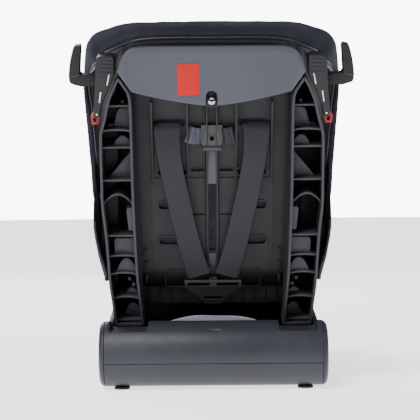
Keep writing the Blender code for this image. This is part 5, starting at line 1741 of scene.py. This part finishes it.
def build_base_trim(side, suffix):
    """Raised mouldings on the base's side: a band under its top edge, upright ribs and two screw bosses."""
    top = smooth_path([(0.128, 0.094), (0.050, 0.104), (-0.050, 0.115), (-0.150, 0.133), (-0.212, 0.141),
                       (-0.236, 0.134), (-0.243, 0.116)], 5)
    band = [tuple(point) for point in top]
    low = [(y, z - 0.010) for y, z in band[:-1]] + [(band[-1][0] + 0.008, band[-1][1] - 0.004)]
    trim = bmesh.new()
    side_slab(trim, band + low[::-1], side * (BASE_HALF_WIDTH - 0.001), side * (BASE_HALF_WIDTH + 0.0022))
    for y in (-0.205, -0.160, -0.115, -0.070, -0.025, 0.020, 0.065, 0.110):
        rib = rounded([(y - 0.0035, 0.052), (y + 0.0035, 0.052), (y + 0.0025, 0.084), (y - 0.0025, 0.084)],
                      0.0024)
        side_slab(trim, rib, side * (BASE_HALF_WIDTH - 0.001), side * (BASE_HALF_WIDTH + 0.0016))
    skirt = rounded([(-0.236, 0.012), (0.136, 0.012), (0.136, 0.034), (-0.244, 0.034)], 0.006)
    side_slab(trim, skirt, side * (BASE_HALF_WIDTH - 0.001), side * (BASE_HALF_WIDTH + 0.0018))
    for y in (-0.218, 0.118):
        add_cylinder(trim, (side * (BASE_HALF_WIDTH + 0.0004), y, 0.066), 0.0075, 0.0044, "X", 32)
    obj = add_piece("base_trim_" + suffix, trim, "slate_plastic", "base")
    bevel(obj, 0.0009, 2)


def build_base_front():
    """A grip moulding round the front opening where the handle is reached."""
    frame_out = rounded([(-0.074, 0.060), (0.074, 0.060), (0.068, 0.122), (-0.068, 0.122)], 0.012)
    frame_in = rounded([(-0.062, 0.072), (0.062, 0.072), (0.058, 0.114), (-0.058, 0.114)], 0.008)
    grip = bmesh.new()
    ring_slab(grip, frame_out, frame_in, -0.2485, lambda x: -0.2525)
    for index in range(5):
        z = 0.0790 + 0.0070 * index
        slab(grip, rounded([(-0.052, z), (0.052, z), (0.052, z + 0.0026), (-0.052, z + 0.0026)], 0.0012),
             -0.2520, -0.2485)
    obj = add_piece("base_front_grip", grip, "slate_plastic", "base")
    bevel(obj, 0.0008, 2)


def build_base_end(side, suffix):
    """A domed cap on the roll's end, with a fine groove round it."""
    loop = roll_section(0.0, 6)
    loop += [(ROLL_FRONT_Y + 0.010, ROLL_TOP_Z - 0.001), (ROLL_FRONT_Y, ROLL_TOP_Z - 0.008),
             (ROLL_FRONT_Y, FOOT_HEIGHT + 0.008), (ROLL_FRONT_Y + 0.010, FOOT_HEIGHT + 0.001)]
    centre = Vector((0.206, ROLL_CENTRE[1]))
    rings = []
    thickness = 0.0095
    for shrink, out in ((0.86, 0.0), (0.997, 0.0), (1.0, 0.0010), (0.994, 0.0028), (0.976, 0.0048),
                        (0.942, 0.0066), (0.890, 0.0080), (0.81, 0.0089), (0.68, 0.0093), (0.50, thickness),
                        (0.25, thickness + 0.0001)):
        rings.append([Vector((side * (BASE_HALF_WIDTH + 0.0003 + out), centre.x + (y - centre.x) * shrink,
                              centre.y + (z - centre.y) * shrink)) for y, z in loop])
    cap = add_piece("base_cap_" + suffix, loft(rings), "slate_plastic", "base",
                    ["base_end_cap_" + suffix], smooth=50.0)
    subdivide(cap)


def build_leaflet():
    """A folded leaflet tucked behind the roll, its free edges curling."""
    box_low, box_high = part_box("instruction_leaflet")
    width = box_high[0] - box_low[0]
    pages = bmesh.new()
    page_shapes = ((0.0, 0.0, 1.0), (0.0022, -0.0018, 0.985), (0.0050, -0.0006, 0.96))
    for page, (lean, lift, shrink) in enumerate(page_shapes):
        outer, inner = [], []
        for i in range(41):
            t = i / 40
            x = box_low[0] + width * (0.5 + (t - 0.5) * shrink)
            fall = 0.0085 * abs(2 * t - 1) ** 2.4 - 0.0006 * math.sin(t * 11.0 + page)
            row_out, row_in = [], []
            for j in range(9):
                v = j / 8
                z = box_low[2] + (box_high[2] - box_low[2] + lift - fall) * v
                y = box_low[1] + (box_high[1] - box_low[1]) * v * 0.9 + lean * v * v
                y += 0.0015 * math.sin(t * 5.0) * v
                row_out.append(Vector((x, y, z)))
                row_in.append(Vector((x, y + 0.00035, z)))
            outer.append(row_out)
            inner.append(row_in)
        pages.from_mesh(mesh_from(closed_grid(outer, inner), "page"))
    add_piece("leaflet_pages", pages, "paper", "base", ["instruction_leaflet"], smooth=50.0)


# ---------------------------------------------------------------- assembly

build_stage()
build_shell()
build_crossbar()
for side_sign, side_name in SIDES:
    build_column(side_sign, side_name)
    build_belt_clamp(side_sign, side_name)
    build_harness(side_sign, side_name)
    build_flap(side_sign, side_name)
    finish_node("rocker_" + side_name, "black_plastic", 0.0008)
build_rim()
build_top_ledge()
build_pads()
build_anchor()
build_buckle()
build_splitter()
build_base()
finish_node("adjuster_housing", "black_plastic", 0.0008)
finish_node("adjuster_button", "slate_plastic", 0.0010)
